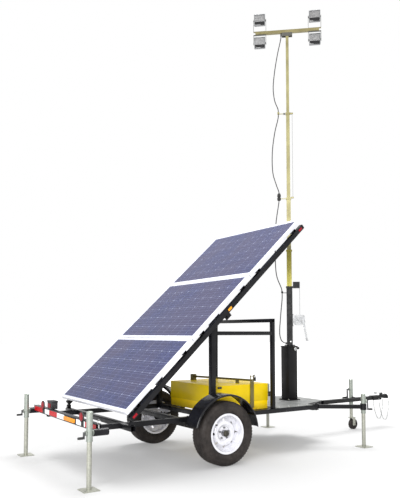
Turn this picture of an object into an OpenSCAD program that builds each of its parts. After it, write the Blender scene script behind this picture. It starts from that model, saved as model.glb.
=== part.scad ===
// Solar light tower trailer: a road trailer with a folding solar array, a battery box,
// a telescoping mast with four flood lamps, four stabiliser jacks and a tongue jack.
// Millimetres. +X runs forward to the coupler, +Y to the left side, +Z up.
// The origin is on the ground, under the middle of the trailer's box.

/* [Chassis] */
// Distance from the origin back to the wheel axle
axle_back = 938; // [900:1:980]
// Outer width of the frame over its side rails
frame_w = 1200; // [1160:10:1220]
// Height of the frame's top face above the ground
frame_top = 505; // [495:5:515]
// Side of the square frame tube
rail = 50; // [45:1:55]
// Wall of the steel tubes
wall = 3; // [2:0.5:4]

/* [Wheels] */
// Outer diameter of the tyre
tyre_d = 664; // [650:1:670]
// Width of the tyre
tyre_w = 205; // [185:5:205]
// Track, from tyre middle to tyre middle
track = 1490; // [1480:10:1500]

/* [Solar array] */
// Length of one solar panel, across the trailer
panel_l = 1650; // [1600:10:1680]
// Width of one solar panel, along the slope
panel_w = 992; // [960:1:992]
// Depth of a panel's aluminium frame
panel_t = 40; // [35:1:40]
// Slope of the array as it stands
array_tilt = 42.8; // [40:0.1:43]

/* [Mast] */
// Height of the first mast tube's top
mast_top = 1975; // [1950:5:2000]
// How far the mast head is turned from the trailer's length
mast_yaw = -42; // [-45:1:-38]
// Height of the lamp bar's underside
head_z = 5386; // [5360:1:5400]
// Length of the lamp bar
bar_l = 845; // [820:5:860]

/* [Battery box] */
// Length of the battery box along the trailer
box_l = 738; // [720:2:738]
// Width of the battery box across the trailer
box_w = 920; // [900:10:920]
// Height of the lid's top above the ground
lid_top = 792; // [780:1:800]

/* [Jacks] */
// Distance from the trailer's middle line to each stabiliser jack
jack_y = 890; // [880:5:900]
// Side of a jack's square foot
foot = 150; // [140:5:150]

/* [Hidden] */
$fn = 64;
gap = 0.5;                        // weld gap between neighbouring tubes
run = 0.05;                       // running clearance of a pin in its bore
rail_mid = (frame_w - rail) / 2;  // a side rail's middle line
frame_low = frame_top - rail;
frame_rear = -1420;               // rail ends, counted from the axle
frame_front = 1500;
beam_h = 70;                      // rear beam
beam_low = frame_top - 15;
wheel_r = tyre_d / 2;
wheel_y = track / 2;
rim_r = 190.5;                    // bead seat of a 15 inch rim
spindle_r = 20;
spring_r = 1186;                  // curve of the leaf springs
fender_r = 407;
fender_y0 = 640;                  // fender edges, from the middle line
fender_y1 = 845;

post_y = 568;                     // array stand
post_rear = -12;
post_w = [56, 42];                // rear and front post sides
post_front = 834;
cross_xs = [-1060, -430, post_rear, post_front, 1475];   // middles of the cross members
pivot = [30, 1550];               // array pivot: X from the axle, Z
pivot_r = 20;
array_l = 3 * panel_w + 20;
array_low = -1502;                // the array's lower edge, along the slope from its pivot
rail_y = panel_l / 2 - 35;        // middle line of the array's side rails
panel_low = [for (i = [0:2]) array_low + i * (panel_w + 10)];
purlin = 40;                      // cross rails under the panels
purlin_z = 70;
panel_z = purlin_z + purlin;
frame_bar = 32;                   // face width of a panel's aluminium frame

mast_x = 1586;
mast_y = -40;
tubes = [76, 64, 54, 46, 38];     // mast tube sides
tops = [mast_top, 2455, 3145, 4290, head_z];
bottoms = [520, 1675, 2155, 2845, 4040];
walls = [4, 3, 3, 2.5, 2.5];
collar_t = 7;                     // how far a tube's collar stands out
column_top = 1205;
column_w = 150;                   // along the trailer
column_d = 140;                   // across the trailer
column_back = 15;                 // the column's middle is this far behind the mast
bar = 40;                         // lamp bar tube
lamp_x = 364;                     // lamp middles along the bar
lamp_w = 150;
lamp_h = 146;
lamp_d = 84;
lamp_reach = [158, 118];          // upper and lower lamp pivots to the bar's face
pitch_down = 10;                  // lamps look this far below the level
upper_z = head_z + bar + lamp_reach[0];
lower_z = head_z - lamp_reach[1];

box_x = 56;                       // rear face of the battery box
box_y = -520;                     // right face of the battery box
tray_top = 640;
lid_low = 600;
sheet = 3;
hinge_y = box_y + box_w + 12;
hinge_z = lid_low + 4;
bar_x = 560;                      // lock bar across the lid
bar_r = 12;

jack_r = 28.5;
leg_r = 22.5;
jack_rear_x = -1550;
swivel_z = 495;
spigot_r = 26;
arm_root = [1530, 560];
front_crank_z = 545;
arm_jack = [1990, jack_y];
arm_turn = atan2(arm_jack[1] - arm_root[1], arm_jack[0] - arm_root[0]);
arm_len = norm(arm_jack - arm_root);
tongue_x = 2870;
caster_lead = 30;                 // the caster's axle is this far ahead of the jack's leg
tongue_y = 95;
caster_r = 72;
drawbar_w = 75;
drawbar_top = frame_low - gap;
ball_x = 3490;
ball_z = 430;
ball_r = 25.9;

cord_d = 12;
// The cable's route beside the mast: along the lamp bar, then height
cable_head = [[-80, 5340], [-92, 5270], [-130, 5100], [-170, 4860], [-190, 4640], [-172, 4470],
    [-132, 4360], [-124, 4310], [-124, 4270], [-132, 4205], [-176, 4020], [-208, 3760], [-204, 3500],
    [-160, 3330], [-126, 3230], [-124, 3160]];
cable_mid = [[-124, 3148], [-128, 3080], [-164, 2840], [-180, 2600], [-180, 2340], [-164, 2120],
    [-106, 1960], [-94, 1902]];
cable_low = [[-94, 1898], [-96, 1800], [-110, 1660], [-122, 1520], [-130, 1410], [-126, 1325],
    [-101, 1262], [-58, 1236]];
// A safety chain's hang: X from the axle, then height
chain_path = [[3290, 404], [3300, 330], [3330, 220], [3370, 140], [3410, 110], [3450, 130],
    [3480, 210], [3496, 300], [3500, 376]];

// ---------- helpers ----------

module from_axle() { translate([-axle_back, 0, 0]) children(); }

module both_sides() {
    children();
    mirror([0, 1, 0]) children();
}

// A box given by its low and high corners
module block(low, high) { translate(low) cube(high - low); }

// A rectangular tube between two corners, open along axis 0, 1 or 2
module box_tube(low, high, along, t = wall) {
    inset = [for (i = [0:2]) i == along ? -1 : t];
    difference() {
        block(low, high);
        block(low + inset, high - inset);
    }
}

module rod_x(r, x0, x1) { translate([x0, 0, 0]) rotate([0, 90, 0]) cylinder(r = r, h = x1 - x0); }
module rod_y(r, y0, y1) { translate([0, y0, 0]) rotate([-90, 0, 0]) cylinder(r = r, h = y1 - y0); }
module rod_z(r, z0, z1) { translate([0, 0, z0]) cylinder(r = r, h = z1 - z0); }

// A round bar swept along points with a fixed number of sides
function spline(p, i, t) =
    let (a = p[max(i - 1, 0)], b = p[i], c = p[i + 1], d = p[min(i + 2, len(p) - 1)])
    0.5 * (2 * b + (c - a) * t + (2 * a - 5 * b + 4 * c - d) * t * t + (3 * b - a - 3 * c + d) * t * t * t);
function smooth(p, n) = concat([for (i = [0:len(p) - 2], k = [0:n - 1]) spline(p, i, k / n)], [p[len(p) - 1]]);
function unit(v) = v / norm(v);
function heading(p, i) = unit(p[min(i + 1, len(p) - 1)] - p[max(i - 1, 0)]);

// The path lies in the plane y = 0, so every ring shares the side vector along Y
module sweep(path, d, sides = 8) {
    rings = [for (i = [0:len(path) - 1]) let (h = heading(path, i), up = cross(h, [0, 1, 0]))
        for (k = [0:sides - 1]) let (a = 360 * k / sides)
            path[i] + d / 2 * (cos(a) * [0, 1, 0] + sin(a) * up)];
    last = len(path) - 1;
    walls_of = [for (i = [0:last - 1], k = [0:sides - 1]) let (n = (k + 1) % sides)
        [i * sides + k, i * sides + n, (i + 1) * sides + n, (i + 1) * sides + k]];
    caps = [[for (k = [sides - 1:-1:0]) k], [for (k = [0:sides - 1]) last * sides + k]];
    polyhedron(rings, concat(walls_of, caps));
}

// ---------- chassis ----------

module main_frame() color("#1c1d1f") from_axle() {
    inner = rail_mid - rail / 2 - gap;
    both_sides() box_tube([frame_rear, rail_mid - rail / 2, frame_low],
        [frame_front, rail_mid + rail / 2, frame_top], 0);
    for (x = cross_xs)
        box_tube([x - rail / 2, -inner, frame_low], [x + rail / 2, inner, frame_top], 1);
    box_tube([frame_rear - rail - gap, -850, beam_low], [frame_rear - gap, 850, beam_low + beam_h], 1);
    // nose: two short rails and a cross member under the front of the deck
    both_sides() box_tube([frame_front + gap, 275, frame_low], [1850, 325, frame_top], 0);
    box_tube([1850 + gap, -325, frame_low], [1900, 325, frame_top], 1);
    // outriggers that carry the array's lower end, each with a rubber rest pad
    both_sides() box_tube([-1115, rail_mid + rail / 2 + gap, frame_low], [-1065, 830, frame_top], 1);
    both_sides() block([-1110, 768, frame_top + gap], [-1070, 812, 543]);
    // lugs at the front corners for the swing arms
    both_sides() for (z = [frame_low - 12, frame_top + gap]) difference() {
        union() {
            block([1440, 528, z], [1530, 592, z + 8]);
            translate([arm_root[0], arm_root[1], z]) cylinder(r = 32, h = 8);
        }
        translate([arm_root[0], arm_root[1], z - 1]) cylinder(r = 12 + run, h = 10);
    }
}

module drawbar() color("#17181a") from_axle() {
    box_tube([700, -drawbar_w / 2, drawbar_top - 50], [3300, drawbar_w / 2, drawbar_top], 0, 5);
}

module deck_plate() color("#77797a") from_axle() {
    half = [[post_front + 60, 598], [1432, 598], [1432, 500], [1560, 440], [1900, 325]];
    translate([0, 0, frame_top + gap]) linear_extrude(4)
        polygon(concat(half, [for (i = [4:-1:0]) [half[i][0], -half[i][1]]]));
}

module array_stand() color("#1c1d1f") from_axle() {
    rear = post_w[0] / 2;
    front = post_w[1] / 2;
    low = frame_top + gap;
    both_sides() {
        translate([post_rear, post_y, 0]) box_tube([-rear, -rear, low], [rear, rear, 1515], 2);
        translate([post_front, post_y, 0]) box_tube([-front, -front, low], [front, front, 1492], 2);
        box_tube([post_rear + rear + gap, post_y - front, 1345], [post_front - front - gap, post_y + front, 1387], 0);
        // bearing block on the rear post
        difference() {
            block([post_rear - rear, post_y - rear, 1515 + gap], [pivot[0] + 30, post_y + rear, pivot[1] + 28]);
            translate([pivot[0], post_y, pivot[1]]) rod_y(pivot_r + run, -rear - 1, rear + 1);
        }
    }
    box_tube([post_front - front, -post_y - front, 1492 + gap], [post_front + front, post_y + front, 1534], 1);
}

module mast_column() color("#141516") from_axle() translate([mast_x - column_back, mast_y, 0]) {
    w = column_w / 2;
    d = column_d / 2;
    box_tube([-w, -d, frame_top + 5], [w, d, column_top - 15 - gap], 2, 5);
    difference() {
        block([-w - 6, -d - 6, column_top - 15], [w + 6, d + 6, column_top - 3]);
        translate([column_back, 0, 0]) rod_z(56, column_top - 20, column_top);
    }
    // base flange
    difference() {
        block([-w - 25, -d - 25, frame_top + 5], [w + 25, d + 25, frame_top + 15]);
        block([-w - gap, -d - gap, frame_top], [w + gap, d + gap, frame_top + 20]);
    }
    // turn lock: a spring plunger in the side of the column
    translate([w + gap, -30, 1172]) rod_x(9, 0, 46);
    translate([w + gap, -30, 1172]) rod_x(16, 46 + gap, 66);
}

module axle_beam() color("#202124") from_axle() {
    difference() {
        translate([-30, -590, wheel_r - 30]) cube([60, 1180, 60]);
        translate([-26, -560, wheel_r - 26]) cube([52, 1120, 52]);
    }
    both_sides() translate([0, 0, wheel_r]) {
        rod_y(spindle_r, 589, wheel_y + 42);
        rod_y(34, 622, 632);
    }
}

// Leaf packs between the rails and the axle, with hangers and U bolts
module leaf_springs() color("#2a2b2d") from_axle() both_sides() {
    for (leaf = [0, 1]) {
        reach = 318 - 110 * leaf;
        low = wheel_r + 30 + gap + 9 * (1 - leaf);
        translate([0, rail_mid, low + spring_r]) intersection() {
            difference() {
                rod_y(spring_r, -25, 25);
                rod_y(spring_r - 8.5, -26, 26);
            }
            block([-reach, -30, -spring_r - 1], [reach, 30, -spring_r + 70]);
        }
    }
    for (x = [-330, 330]) translate([x, rail_mid, 0]) {
        block([-16, -30, 396], [16, -25.5, frame_low - gap]);
        block([-16, 25.5, 396], [16, 30, frame_low - gap]);
        translate([0, 0, 415]) rod_y(9, -34, 34);
    }
    translate([0, rail_mid, 0]) {
        block([-55, -42, 290], [55, 42, 298]);
        block([-55, -42, wheel_r + 49], [55, 42, wheel_r + 57]);
        for (x = [-42, 42], y = [-34, 34]) translate([x, y, 0]) rod_z(6, 280, 298 - 8 - gap);
        for (x = [-42, 42], y = [-34, 34]) translate([x, y, 0]) rod_z(6, 298 + gap, wheel_r + 49 - gap);
        for (x = [-42, 42], y = [-34, 34]) translate([x, y, 0]) rod_z(6, wheel_r + 57 + gap, wheel_r + 72);
    }
}

module fender_slice(r0, r1, y0, y1) {
    translate([0, y0, wheel_r]) rotate([90, 0, 0]) mirror([0, 0, 1]) rotate([0, 0, 6])
        rotate_extrude(angle = 160, $fn = 96) translate([r0, 0]) square([r1 - r0, y1 - y0]);
}
module fenders() color("#17181a") from_axle() both_sides() {
    fender_slice(fender_r - 3, fender_r, fender_y0, fender_y1);
    fender_slice(fender_r - 22, fender_r - 3 - gap, fender_y1 - 3, fender_y1);
    for (a = [25, 153]) translate([393 * cos(a), 0, wheel_r + 393 * sin(a)])
        rod_y(10, rail_mid + rail / 2 + gap, fender_y1 - 4);
}

// ---------- battery box ----------

module battery_box() color("#e3c013") from_axle() {
    difference() {
        block([box_x, box_y, frame_top + gap], [box_x + box_l, box_y + box_w, tray_top]);
        block([box_x + sheet, box_y + sheet, frame_top + gap + sheet],
            [box_x + box_l - sheet, box_y + box_w - sheet, tray_top + 1]);
    }
    for (x = [200, 640]) translate([x, hinge_y, hinge_z]) difference() {
        union() {
            rod_x(9, -20, 20);
            block([-20, -12, -40], [20, -3, 0]);
        }
        rod_x(5 + run, -21, 21);
    }
}

module battery_lid() color("#f0cf1c") from_axle() {
    skin = sheet + 1;
    difference() {
        block([box_x - skin, box_y - skin, lid_low], [box_x + box_l + skin, box_y + box_w + skin, lid_top]);
        block([box_x - 1, box_y - 1, lid_low - 1], [box_x + box_l + 1, box_y + box_w + 1, lid_top - sheet]);
        // room for the box's hinge knuckles
        for (x = [200, 640]) block([x - 22, box_y + box_w, lid_low - 1], [x + 22, hinge_y, lid_low + 18]);
    }
    for (x = [200, 640]) translate([x, hinge_y, hinge_z]) {
        rod_x(5, -45, 45);
        for (end = [-45, 21]) translate([end, 0, 0]) {
            rod_x(9, 0, 24);
            block([0, -8.5, -2], [24, 0, 9]);
        }
    }
}

module batteries() color("#2c2f33") from_axle() {
    cell = [330, 173, 215];
    for (i = [0:1], j = [0:3])
        translate([box_x + 30 + i * 342, box_y + 20 + j * 181, frame_top + 6]) {
            cube(cell);
            for (x = [40, 290]) translate([x, 30, cell[2] + gap]) cylinder(r = 9, h = 14);
        }
}

module charge_controller() color("#8d9296") from_axle() {
    translate([box_x + 250, box_y + 780, frame_top + 6]) cube([220, 100, 120]);
}

module lid_lock_bar() color("#4c4f4a") from_axle() translate([bar_x, box_y, lid_top + 44])
    rotate([0, 0, 13.5]) {
        rod_y(bar_r, -13, 880);
        // bracket at the far end and a foot near the hasp
        block([-30, 879, -44 + gap], [30, 925, 28]);
        block([-15, 190, -44 + gap], [15, 220, -bar_r + 1]);
    }

module lid_hasp() color("#aeb2b4") from_axle() translate([bar_x, box_y - 14, 0]) {
    block([-25, 0, 530], [25, 6, 824]);
    for (side = [-1, 1]) block([side * 20 - 5, 0, 824], [side * 20 + 5, 6, 892]);
    block([-25, 6, 530], [25, 13.5, 590]);
}

// ---------- coupler and tongue ----------

module coupler() color("#1b1c1e") from_axle() {
    low = drawbar_top - 50;
    difference() {
        union() {
            block([3180, -drawbar_w / 2 - 6, low - 4], [3360, drawbar_w / 2 + 6, drawbar_top + 6]);
            block([3350, -30, ball_z - 4], [3470, 30, drawbar_top + 6]);
            translate([ball_x, 0, ball_z]) sphere(r = 46);
            translate([ball_x, 0, ball_z]) rod_z(46, -18, 0);
        }
        block([3170, -drawbar_w / 2 - gap, low - 10], [3300 + gap, drawbar_w / 2 + gap, drawbar_top + gap]);
        translate([ball_x, 0, ball_z]) sphere(r = ball_r);
        translate([ball_x, 0, ball_z]) rod_z(ball_r, -60, 0);
        translate([ball_x, 0, ball_z]) rod_z(60, -80, -18);
    }
    // ears that hold the latch
    for (side = [-1, 1]) translate([3400, side * 16, 484]) difference() {
        block([-14, -4, -24 + gap], [14, 4, 12]);
        rod_y(5 + run, -5, 5);
    }
}

module coupler_latch() color("#9a9ea1") from_axle() translate([3400, 0, 484]) {
    rod_y(5, -22, 22);
    difference() {
        block([-108, -11, 2], [14, 11, 14]);
        block([-80, -5, 0], [-30, 5, 20]);
    }
    translate([0, 0, 0]) rod_y(11, -11, 11);
    translate([-118, 0, 14]) rod_y(14, -20, 20);
}

module safety_chains() color("#a6a9aa") from_axle() both_sides() translate([0, 54, 0])
    sweep([for (q = smooth(chain_path, 3)) [q[0], 0, q[1]]], 16);

module jack_mounts() color("#1c1d1f") from_axle() {
    both_sides() translate([0, jack_y, swivel_z]) difference() {
        union() {
            rod_x(33, jack_rear_x + jack_r + 6, -1375);
            block([frame_rear - rail - gap, -40 + gap, -20], [-1375, 0, 20]);
        }
        rod_x(spigot_r + run, jack_rear_x, -1374);
    }
    translate([tongue_x, 0, drawbar_top - 25]) difference() {
        union() {
            rod_y(33, drawbar_w / 2 + gap, 64);
            block([-60, drawbar_w / 2 + gap, -25], [60, drawbar_w / 2 + 8, 25]);
        }
        rod_y(spigot_r + run, drawbar_w / 2, 65);
    }
}

module jack_foot(z = 0) {
    translate([-foot / 2, -foot / 2, z]) difference() {
        cube([foot, foot, 8]);
        for (x = [20, foot - 20], y = [20, foot - 20]) translate([x, y, -1]) cylinder(r = 8, h = 10);
    }
}

module jack_leg(top) {
    jack_foot();
    difference() {
        rod_z(leg_r, 8, top);
        rod_z(leg_r - 4, 20, top + 1);
    }
}

module jack_tube(low, top) {
    difference() {
        rod_z(jack_r, low, top);
        rod_z(jack_r - 4, low - 1, top - 6);
    }
}

// A crank on the -X side of a jack: hub, arm and grip
module jack_crank(reach, throw, grip) {
    rod_x(8, -reach - gap, -jack_r - 13);
    translate([-reach - 12, 0, 0]) block([0, -10, -throw - 10], [12, 10, 10]);
    translate([0, 0, -throw]) rod_x(9, -reach - 12 - grip, -reach - 12 - gap);
}

module rear_jack(side) from_axle() translate([jack_rear_x, side * jack_y, 0]) {
    jack_tube(420, 680);
    translate([0, 0, swivel_z]) {
        rod_x(spigot_r, jack_r - 2, 160);
        rod_x(22, -jack_r - 12, -jack_r + 2);
    }
}

module rear_leg(side) from_axle() translate([jack_rear_x, side * jack_y, 0]) jack_leg(565);

module rear_crank(side) from_axle() translate([jack_rear_x, side * jack_y, swivel_z])
    jack_crank(46, 40, 52);

module front_arm(side) from_axle() translate([arm_root[0], side * arm_root[1], 0])
    rotate([0, 0, side * arm_turn]) {
        z0 = frame_low + 2;
        z1 = frame_top - 2;
        difference() {
            rod_z(28, z0, z1);
            rod_z(12 + run, z0 - 1, z1 + 1);
        }
        difference() {
            block([26.5, -24, z0], [arm_len - 32, 24, z1]);
            block([32, -21, z0 + wall], [arm_len - 40, 21, z1 - wall]);
        }
        translate([arm_len, 0, 0]) difference() {
            rod_z(37, z0 - 15, z1 + 15);
            rod_z(jack_r + gap, z0 - 16, z1 + 16);
        }
        block([arm_len - 34, -12, z0], [arm_len - 30, 12, z1]);
        // pivot pin, with a head above the top lug
        rod_z(12, frame_low - 20, frame_top + 12);
        rod_z(18, frame_top + 12, frame_top + 20);
    }

module at_arm_end(side) from_axle() translate([arm_root[0], side * arm_root[1], 0])
    rotate([0, 0, side * arm_turn]) translate([arm_len, 0, 0]) children();

module front_jack(side) at_arm_end(side) {
    jack_tube(400, 631);
    translate([0, 0, front_crank_z]) rotate([0, 0, 180]) rod_x(20, -jack_r - 12, -jack_r + 2);
}

module front_leg(side) at_arm_end(side) rotate([0, 0, -side * arm_turn]) jack_leg(525);

module front_crank(side) at_arm_end(side) translate([0, 0, front_crank_z])
    rotate([0, 0, 180]) jack_crank(46, 95, 50);

module tongue_jack_tube() color("#b9bdb9") from_axle() translate([tongue_x, tongue_y, 0]) {
    jack_tube(330, 705);
    translate([0, 0, drawbar_top - 25]) rod_y(spigot_r, -54, -jack_r + 2);
    translate([0, 0, 565]) rod_x(20, -jack_r - 12, -jack_r + 2);
}

module tongue_jack_crank() color("#8f9391") from_axle() translate([tongue_x, tongue_y, 565])
    jack_crank(70, 110, 90);

module tongue_jack_leg() color("#c3c7c2") from_axle() translate([tongue_x, tongue_y, 0]) {
    difference() {
        rod_z(leg_r, 168, 480);
        rod_z(leg_r - 4, 180, 481);
    }
    block([-30, -32, 160], [caster_lead + 20, 32, 168]);
    for (side = [-1, 1]) difference() {
        block([0, side * 29 - 3, 55], [caster_lead + 18, side * 29 + 3, 160]);
        translate([caster_lead, 0, caster_r]) rod_y(10, -40, 40);
    }
    translate([caster_lead, 0, caster_r]) rod_y(8, -36, 36);
}

module caster_wheel() color("#26282a") from_axle() translate([tongue_x + caster_lead, tongue_y, caster_r])
    difference() {
        union() {
            rod_y(caster_r, -20, 20);
            rod_y(16, -25, 25);
        }
        rod_y(8 + run, -26, 26);
    }

// ---------- wheels ----------

module tyre(side) color("#2b2a2a") from_axle() translate([0, side * wheel_y, wheel_r])
    rotate([90, 0, 0]) rotate_extrude($fn = 128) {
        h = tyre_w / 2;
        bead = rim_r + 1;
        polygon([[bead, -h + 26], [bead + 20, -h + 26], [bead + 34, -h + 8], [wheel_r - 70, -h], [wheel_r - 26, -h + 8],
            [wheel_r - 5, -h + 28], [wheel_r, -h + 60], [wheel_r, h - 60], [wheel_r - 5, h - 28],
            [wheel_r - 26, h - 8], [wheel_r - 70, h], [bead + 34, h - 8], [bead + 20, h - 26], [bead, h - 26],
            [bead, h - 38], [bead + 30, h - 30], [wheel_r - 70, h - 12], [wheel_r - 26, h - 26],
            [wheel_r - 14, h - 62], [wheel_r - 14, -h + 62], [wheel_r - 26, -h + 26],
            [wheel_r - 70, -h + 12], [bead + 30, -h + 30], [bead, -h + 38]]);
    }

// The disc faces away from the trailer
module rim(side) color("#e8e8ee") from_axle() translate([0, side * wheel_y, wheel_r])
    rotate([side > 0 ? -90 : 90, 0, 0]) {
        h = tyre_w / 2 - 22;
        difference() {
            rotate_extrude($fn = 128)
                polygon([[rim_r + 17, h + 2], [rim_r + 17, h - 2], [rim_r, h - 4], [rim_r, -h + 4],
                    [rim_r + 17, -h + 2], [rim_r + 17, -h - 2], [rim_r - 4, -h], [rim_r - 4, -10],
                    [150, -2], [120, 24], [96, 26], [70, 8], [34, 8], [34, 14], [70, 14], [94, 32],
                    [122, 30], [152, 4], [rim_r - 4, -4], [rim_r - 4, h]]);
            for (i = [0:7]) rotate([0, 0, 45 * i]) translate([137, 0, -20]) cylinder(r = 15, h = 60);
            for (i = [0:4]) rotate([0, 0, 72 * i + 90]) translate([57, 0, 0]) cylinder(r = 7, h = 30);
        }
        // hub that turns on the spindle, with its five studs and nuts
        difference() {
            union() {
                rod_z(33, -60, 52);
                rod_z(68, -6, 7.5);
            }
            rod_z(spindle_r + run, -61, 44);
        }
        for (i = [0:4]) rotate([0, 0, 72 * i + 90]) translate([57, 0, 0]) {
            rod_z(6, 7.5, 32);
            translate([0, 0, 14 + gap]) cylinder(r = 11, h = 14, $fn = 6);
        }
    }

// ---------- solar array ----------

// Local frame: x up the slope, y across, z square to the glass, origin on the pivot
module on_array() from_axle() translate([pivot[0], 0, pivot[1]]) rotate([0, -array_tilt, 0]) children();

module array_frame() color("#1a1b1d") on_array() {
    both_sides() box_tube([array_low, rail_y - 25, 20], [array_low + array_l + 8, rail_y + 25, purlin_z - gap], 0);
    for (i = [0:2], s = [120, panel_w - 160])
        box_tube([panel_low[i] + s, -rail_y - 25, purlin_z], [panel_low[i] + s + purlin, rail_y + 25,
            panel_z - gap], 1, 2.5);
    rod_y(pivot_r, -rail_y - 20, rail_y + 20);
    both_sides() difference() {
        translate([0, rail_y, 0]) block([-40, -6, -28], [40, 6, 20 - gap]);
        rod_y(pivot_r + gap, rail_y - 10, rail_y + 10);
    }
}

module panel_frames() color("#d9dbe2") on_array() for (x = panel_low) {
    y = panel_l / 2;
    z1 = panel_z + panel_t;
    for (end = [0, panel_w - frame_bar]) difference() {
        block([x + end, -y, panel_z], [x + end + frame_bar, y, z1]);
        block([x + end + (end == 0 ? 2 : -1), -y + 2, panel_z + 2],
            [x + end + frame_bar + (end == 0 ? 1 : -2), y - 2, z1 - 7]);
    }
    for (side = [-1, 1]) difference() {
        block([x + frame_bar + gap, side * (y - frame_bar / 2) - frame_bar / 2, panel_z],
            [x + panel_w - frame_bar - gap, side * (y - frame_bar / 2) + frame_bar / 2, z1]);
        block([x, side * (y - frame_bar / 2 - 2) - frame_bar / 2, panel_z + 2],
            [x + panel_w, side * (y - frame_bar / 2 - 2) + frame_bar / 2, z1 - 7]);
    }
}

module panel_laminates() color("#3b4577") on_array() for (x = panel_low)
    block([x + frame_bar + 1, -panel_l / 2 + frame_bar + 1, panel_z + panel_t - 8],
        [x + panel_w - frame_bar - 1, panel_l / 2 - frame_bar - 1, panel_z + panel_t - 2]);

module junction_boxes() color("#17181a") on_array() for (x = panel_low)
    block([x + 700, -60, panel_z + panel_t - 34], [x + 800, 60, panel_z + panel_t - 8 - gap]);

// ---------- mast ----------

module on_mast() from_axle() translate([mast_x, mast_y, 0]) rotate([0, 0, mast_yaw]) children();

module mast_section(i, collar = 20) {
    half = tubes[i] / 2;
    box_tube([-half, -half, bottoms[i]], [half, half, tops[i] - collar - gap], 2, walls[i]);
    if (collar > 0) difference() {
        block([-half - collar_t, -half - collar_t, tops[i] - collar],
            [half + collar_t, half + collar_t, tops[i]]);
        block([-half + walls[i], -half + walls[i], tops[i] - collar - 1],
            [half - walls[i], half - walls[i], tops[i] + 1]);
    }
}

// A clip that holds the cable at distance x and height z, on an arm from a tube's face
module clip_arm(face, x, z, tall) {
    block([x + 11, -5, z], [face - gap, 5, z + 8]);
    translate([x, 0, z]) difference() {
        cylinder(r = 13, h = tall);
        translate([0, 0, -1]) cylinder(r = 9, h = tall + 2);
    }
}

module mast_tube_0() color("#17181a") on_mast() {
    mast_section(0);
    half = tubes[0] / 2 + gap;
    difference() {
        rod_z(70, column_top, column_top + 12);
        block([-half, -half, column_top - 1], [half, half, column_top + 13]);
    }
    clip_arm(-tubes[0] / 2, -94, 1888, 24);
    // head pulley and its cheeks
    translate([98, 0, 1995]) {
        rod_y(30, -6, 6);
        for (side = [-1, 1]) block([-52, side * 10 - 3, -44], [36, side * 10 + 3, 40]);
        rod_y(6, 6 + gap, 18);
        rod_y(6, -18, -6 - gap);
    }
    // cable gland near the foot
    translate([-half, 0, 1236]) rotate([0, -90, 0]) cylinder(r1 = 14, r2 = 10, h = 18);
}

module mast_tube_1() color("#8f8a4e") on_mast() mast_section(1);
module mast_tube_2() color("#8f8a4e") on_mast() {
    mast_section(2);
    clip_arm(-tubes[2] / 2 - collar_t, -124, tops[2] - 12, 56);
}
module mast_tube_3() color("#a39c5c") on_mast() {
    mast_section(3);
    clip_arm(-tubes[3] / 2 - collar_t, -124, tops[3] - 12, 30);
}
module mast_tube_4() color("#b3ab68") on_mast() mast_section(4, 0);

module winch() color("#8b9092") on_mast() {
    half = tubes[0] / 2 + gap;
    block([half, -42, 1455], [half + 6, 42, 1615]);
    for (side = [-1, 1]) block([half + 6, side * 38 - 3, 1470], [200, side * 38 + 3, 1605]);
    translate([110, 0, 1537]) {
        rod_y(24, -34.5, 34.5);
        for (y = [-34.5, 28.5]) rod_y(44, y, y + 6);
    }
    // lifting rope up to the head pulley
    translate([131.5, 0, 0]) rod_z(2.5, 1562, 1995);
}

module winch_crank() color("#b5b8b8") on_mast() translate([171, 0, 1537]) {
    rod_y(9, -62, -42);
    translate([0, -62, 0]) rotate([0, -10, 0]) block([-12, -8, -275], [12, 0, 14]);
    translate([46, 0, -262]) rod_y(13, -170, -62 - 8 - gap);
}

module crosshead() color("#a8a05f") on_mast() {
    box_tube([-bar_l / 2, -bar / 2, head_z + gap], [bar_l / 2, bar / 2, head_z + bar], 0);
    half = tubes[4] / 2 + gap;
    // gusset plates and cable gland under the bar
    for (side = [-1, 1]) block([-68, side * (half + 3) - 3, head_z - 48], [68, side * (half + 3) + 3, head_z]);
    translate([-80, 0, 5345]) cylinder(r = 11, h = head_z - 5345);
    for (x = [-lamp_x, lamp_x]) translate([x, 0, head_z + bar / 2]) {
        yoke(lamp_reach[0]);
        mirror([0, 0, 1]) yoke(lamp_reach[1]);
    }
}

module yoke(reach) {
    half = lamp_w / 2 + 6;
    base = bar / 2 + gap;
    block([-half - 4, -15, base], [half + 4, 15, base + 4]);
    for (side = [-1, 1]) difference() {
        block([side * (half + 2) - 2, -15, base + 4], [side * (half + 2) + 2, 15, bar / 2 + reach + 16]);
        translate([0, 0, bar / 2 + reach]) rod_x(6 + run, -half - 10, half + 10);
    }
}

// A lamp faces -y of the mast's frame and turns on two stub pins
module lamp(x, z) color("#9fa3a6") on_mast() translate([x, 0, z])
    rotate([pitch_down, 0, 0]) {
        w = lamp_w / 2;
        h = lamp_h / 2;
        difference() {
            block([-w, -lamp_d / 2, -h], [w, lamp_d / 2 - 34, h]);
            block([-w + 8, -lamp_d / 2 - 1, -h + 8], [w - 8, -lamp_d / 2 + 14, h - 8]);
        }
        block([-w + 9, -lamp_d / 2 + 3, -h + 9], [w - 9, -lamp_d / 2 + 7, h - 9]);
        for (i = [0:9]) translate([-w + 9 + i * 14.4, 0, 0])
            block([-1.5, lamp_d / 2 - 34, -h + 8], [1.5, lamp_d / 2 - 4, h - 8]);
        rod_x(6, -w - 12, -w);
        rod_x(6, w, w + 12);
    }

// ---------- cable ----------

module cable(path, n) color("#1b1c1d") on_mast()
    sweep([for (q = smooth(path, n)) [q[0], 0, q[1]]], cord_d);

// ---------- rear lamps ----------

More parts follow.
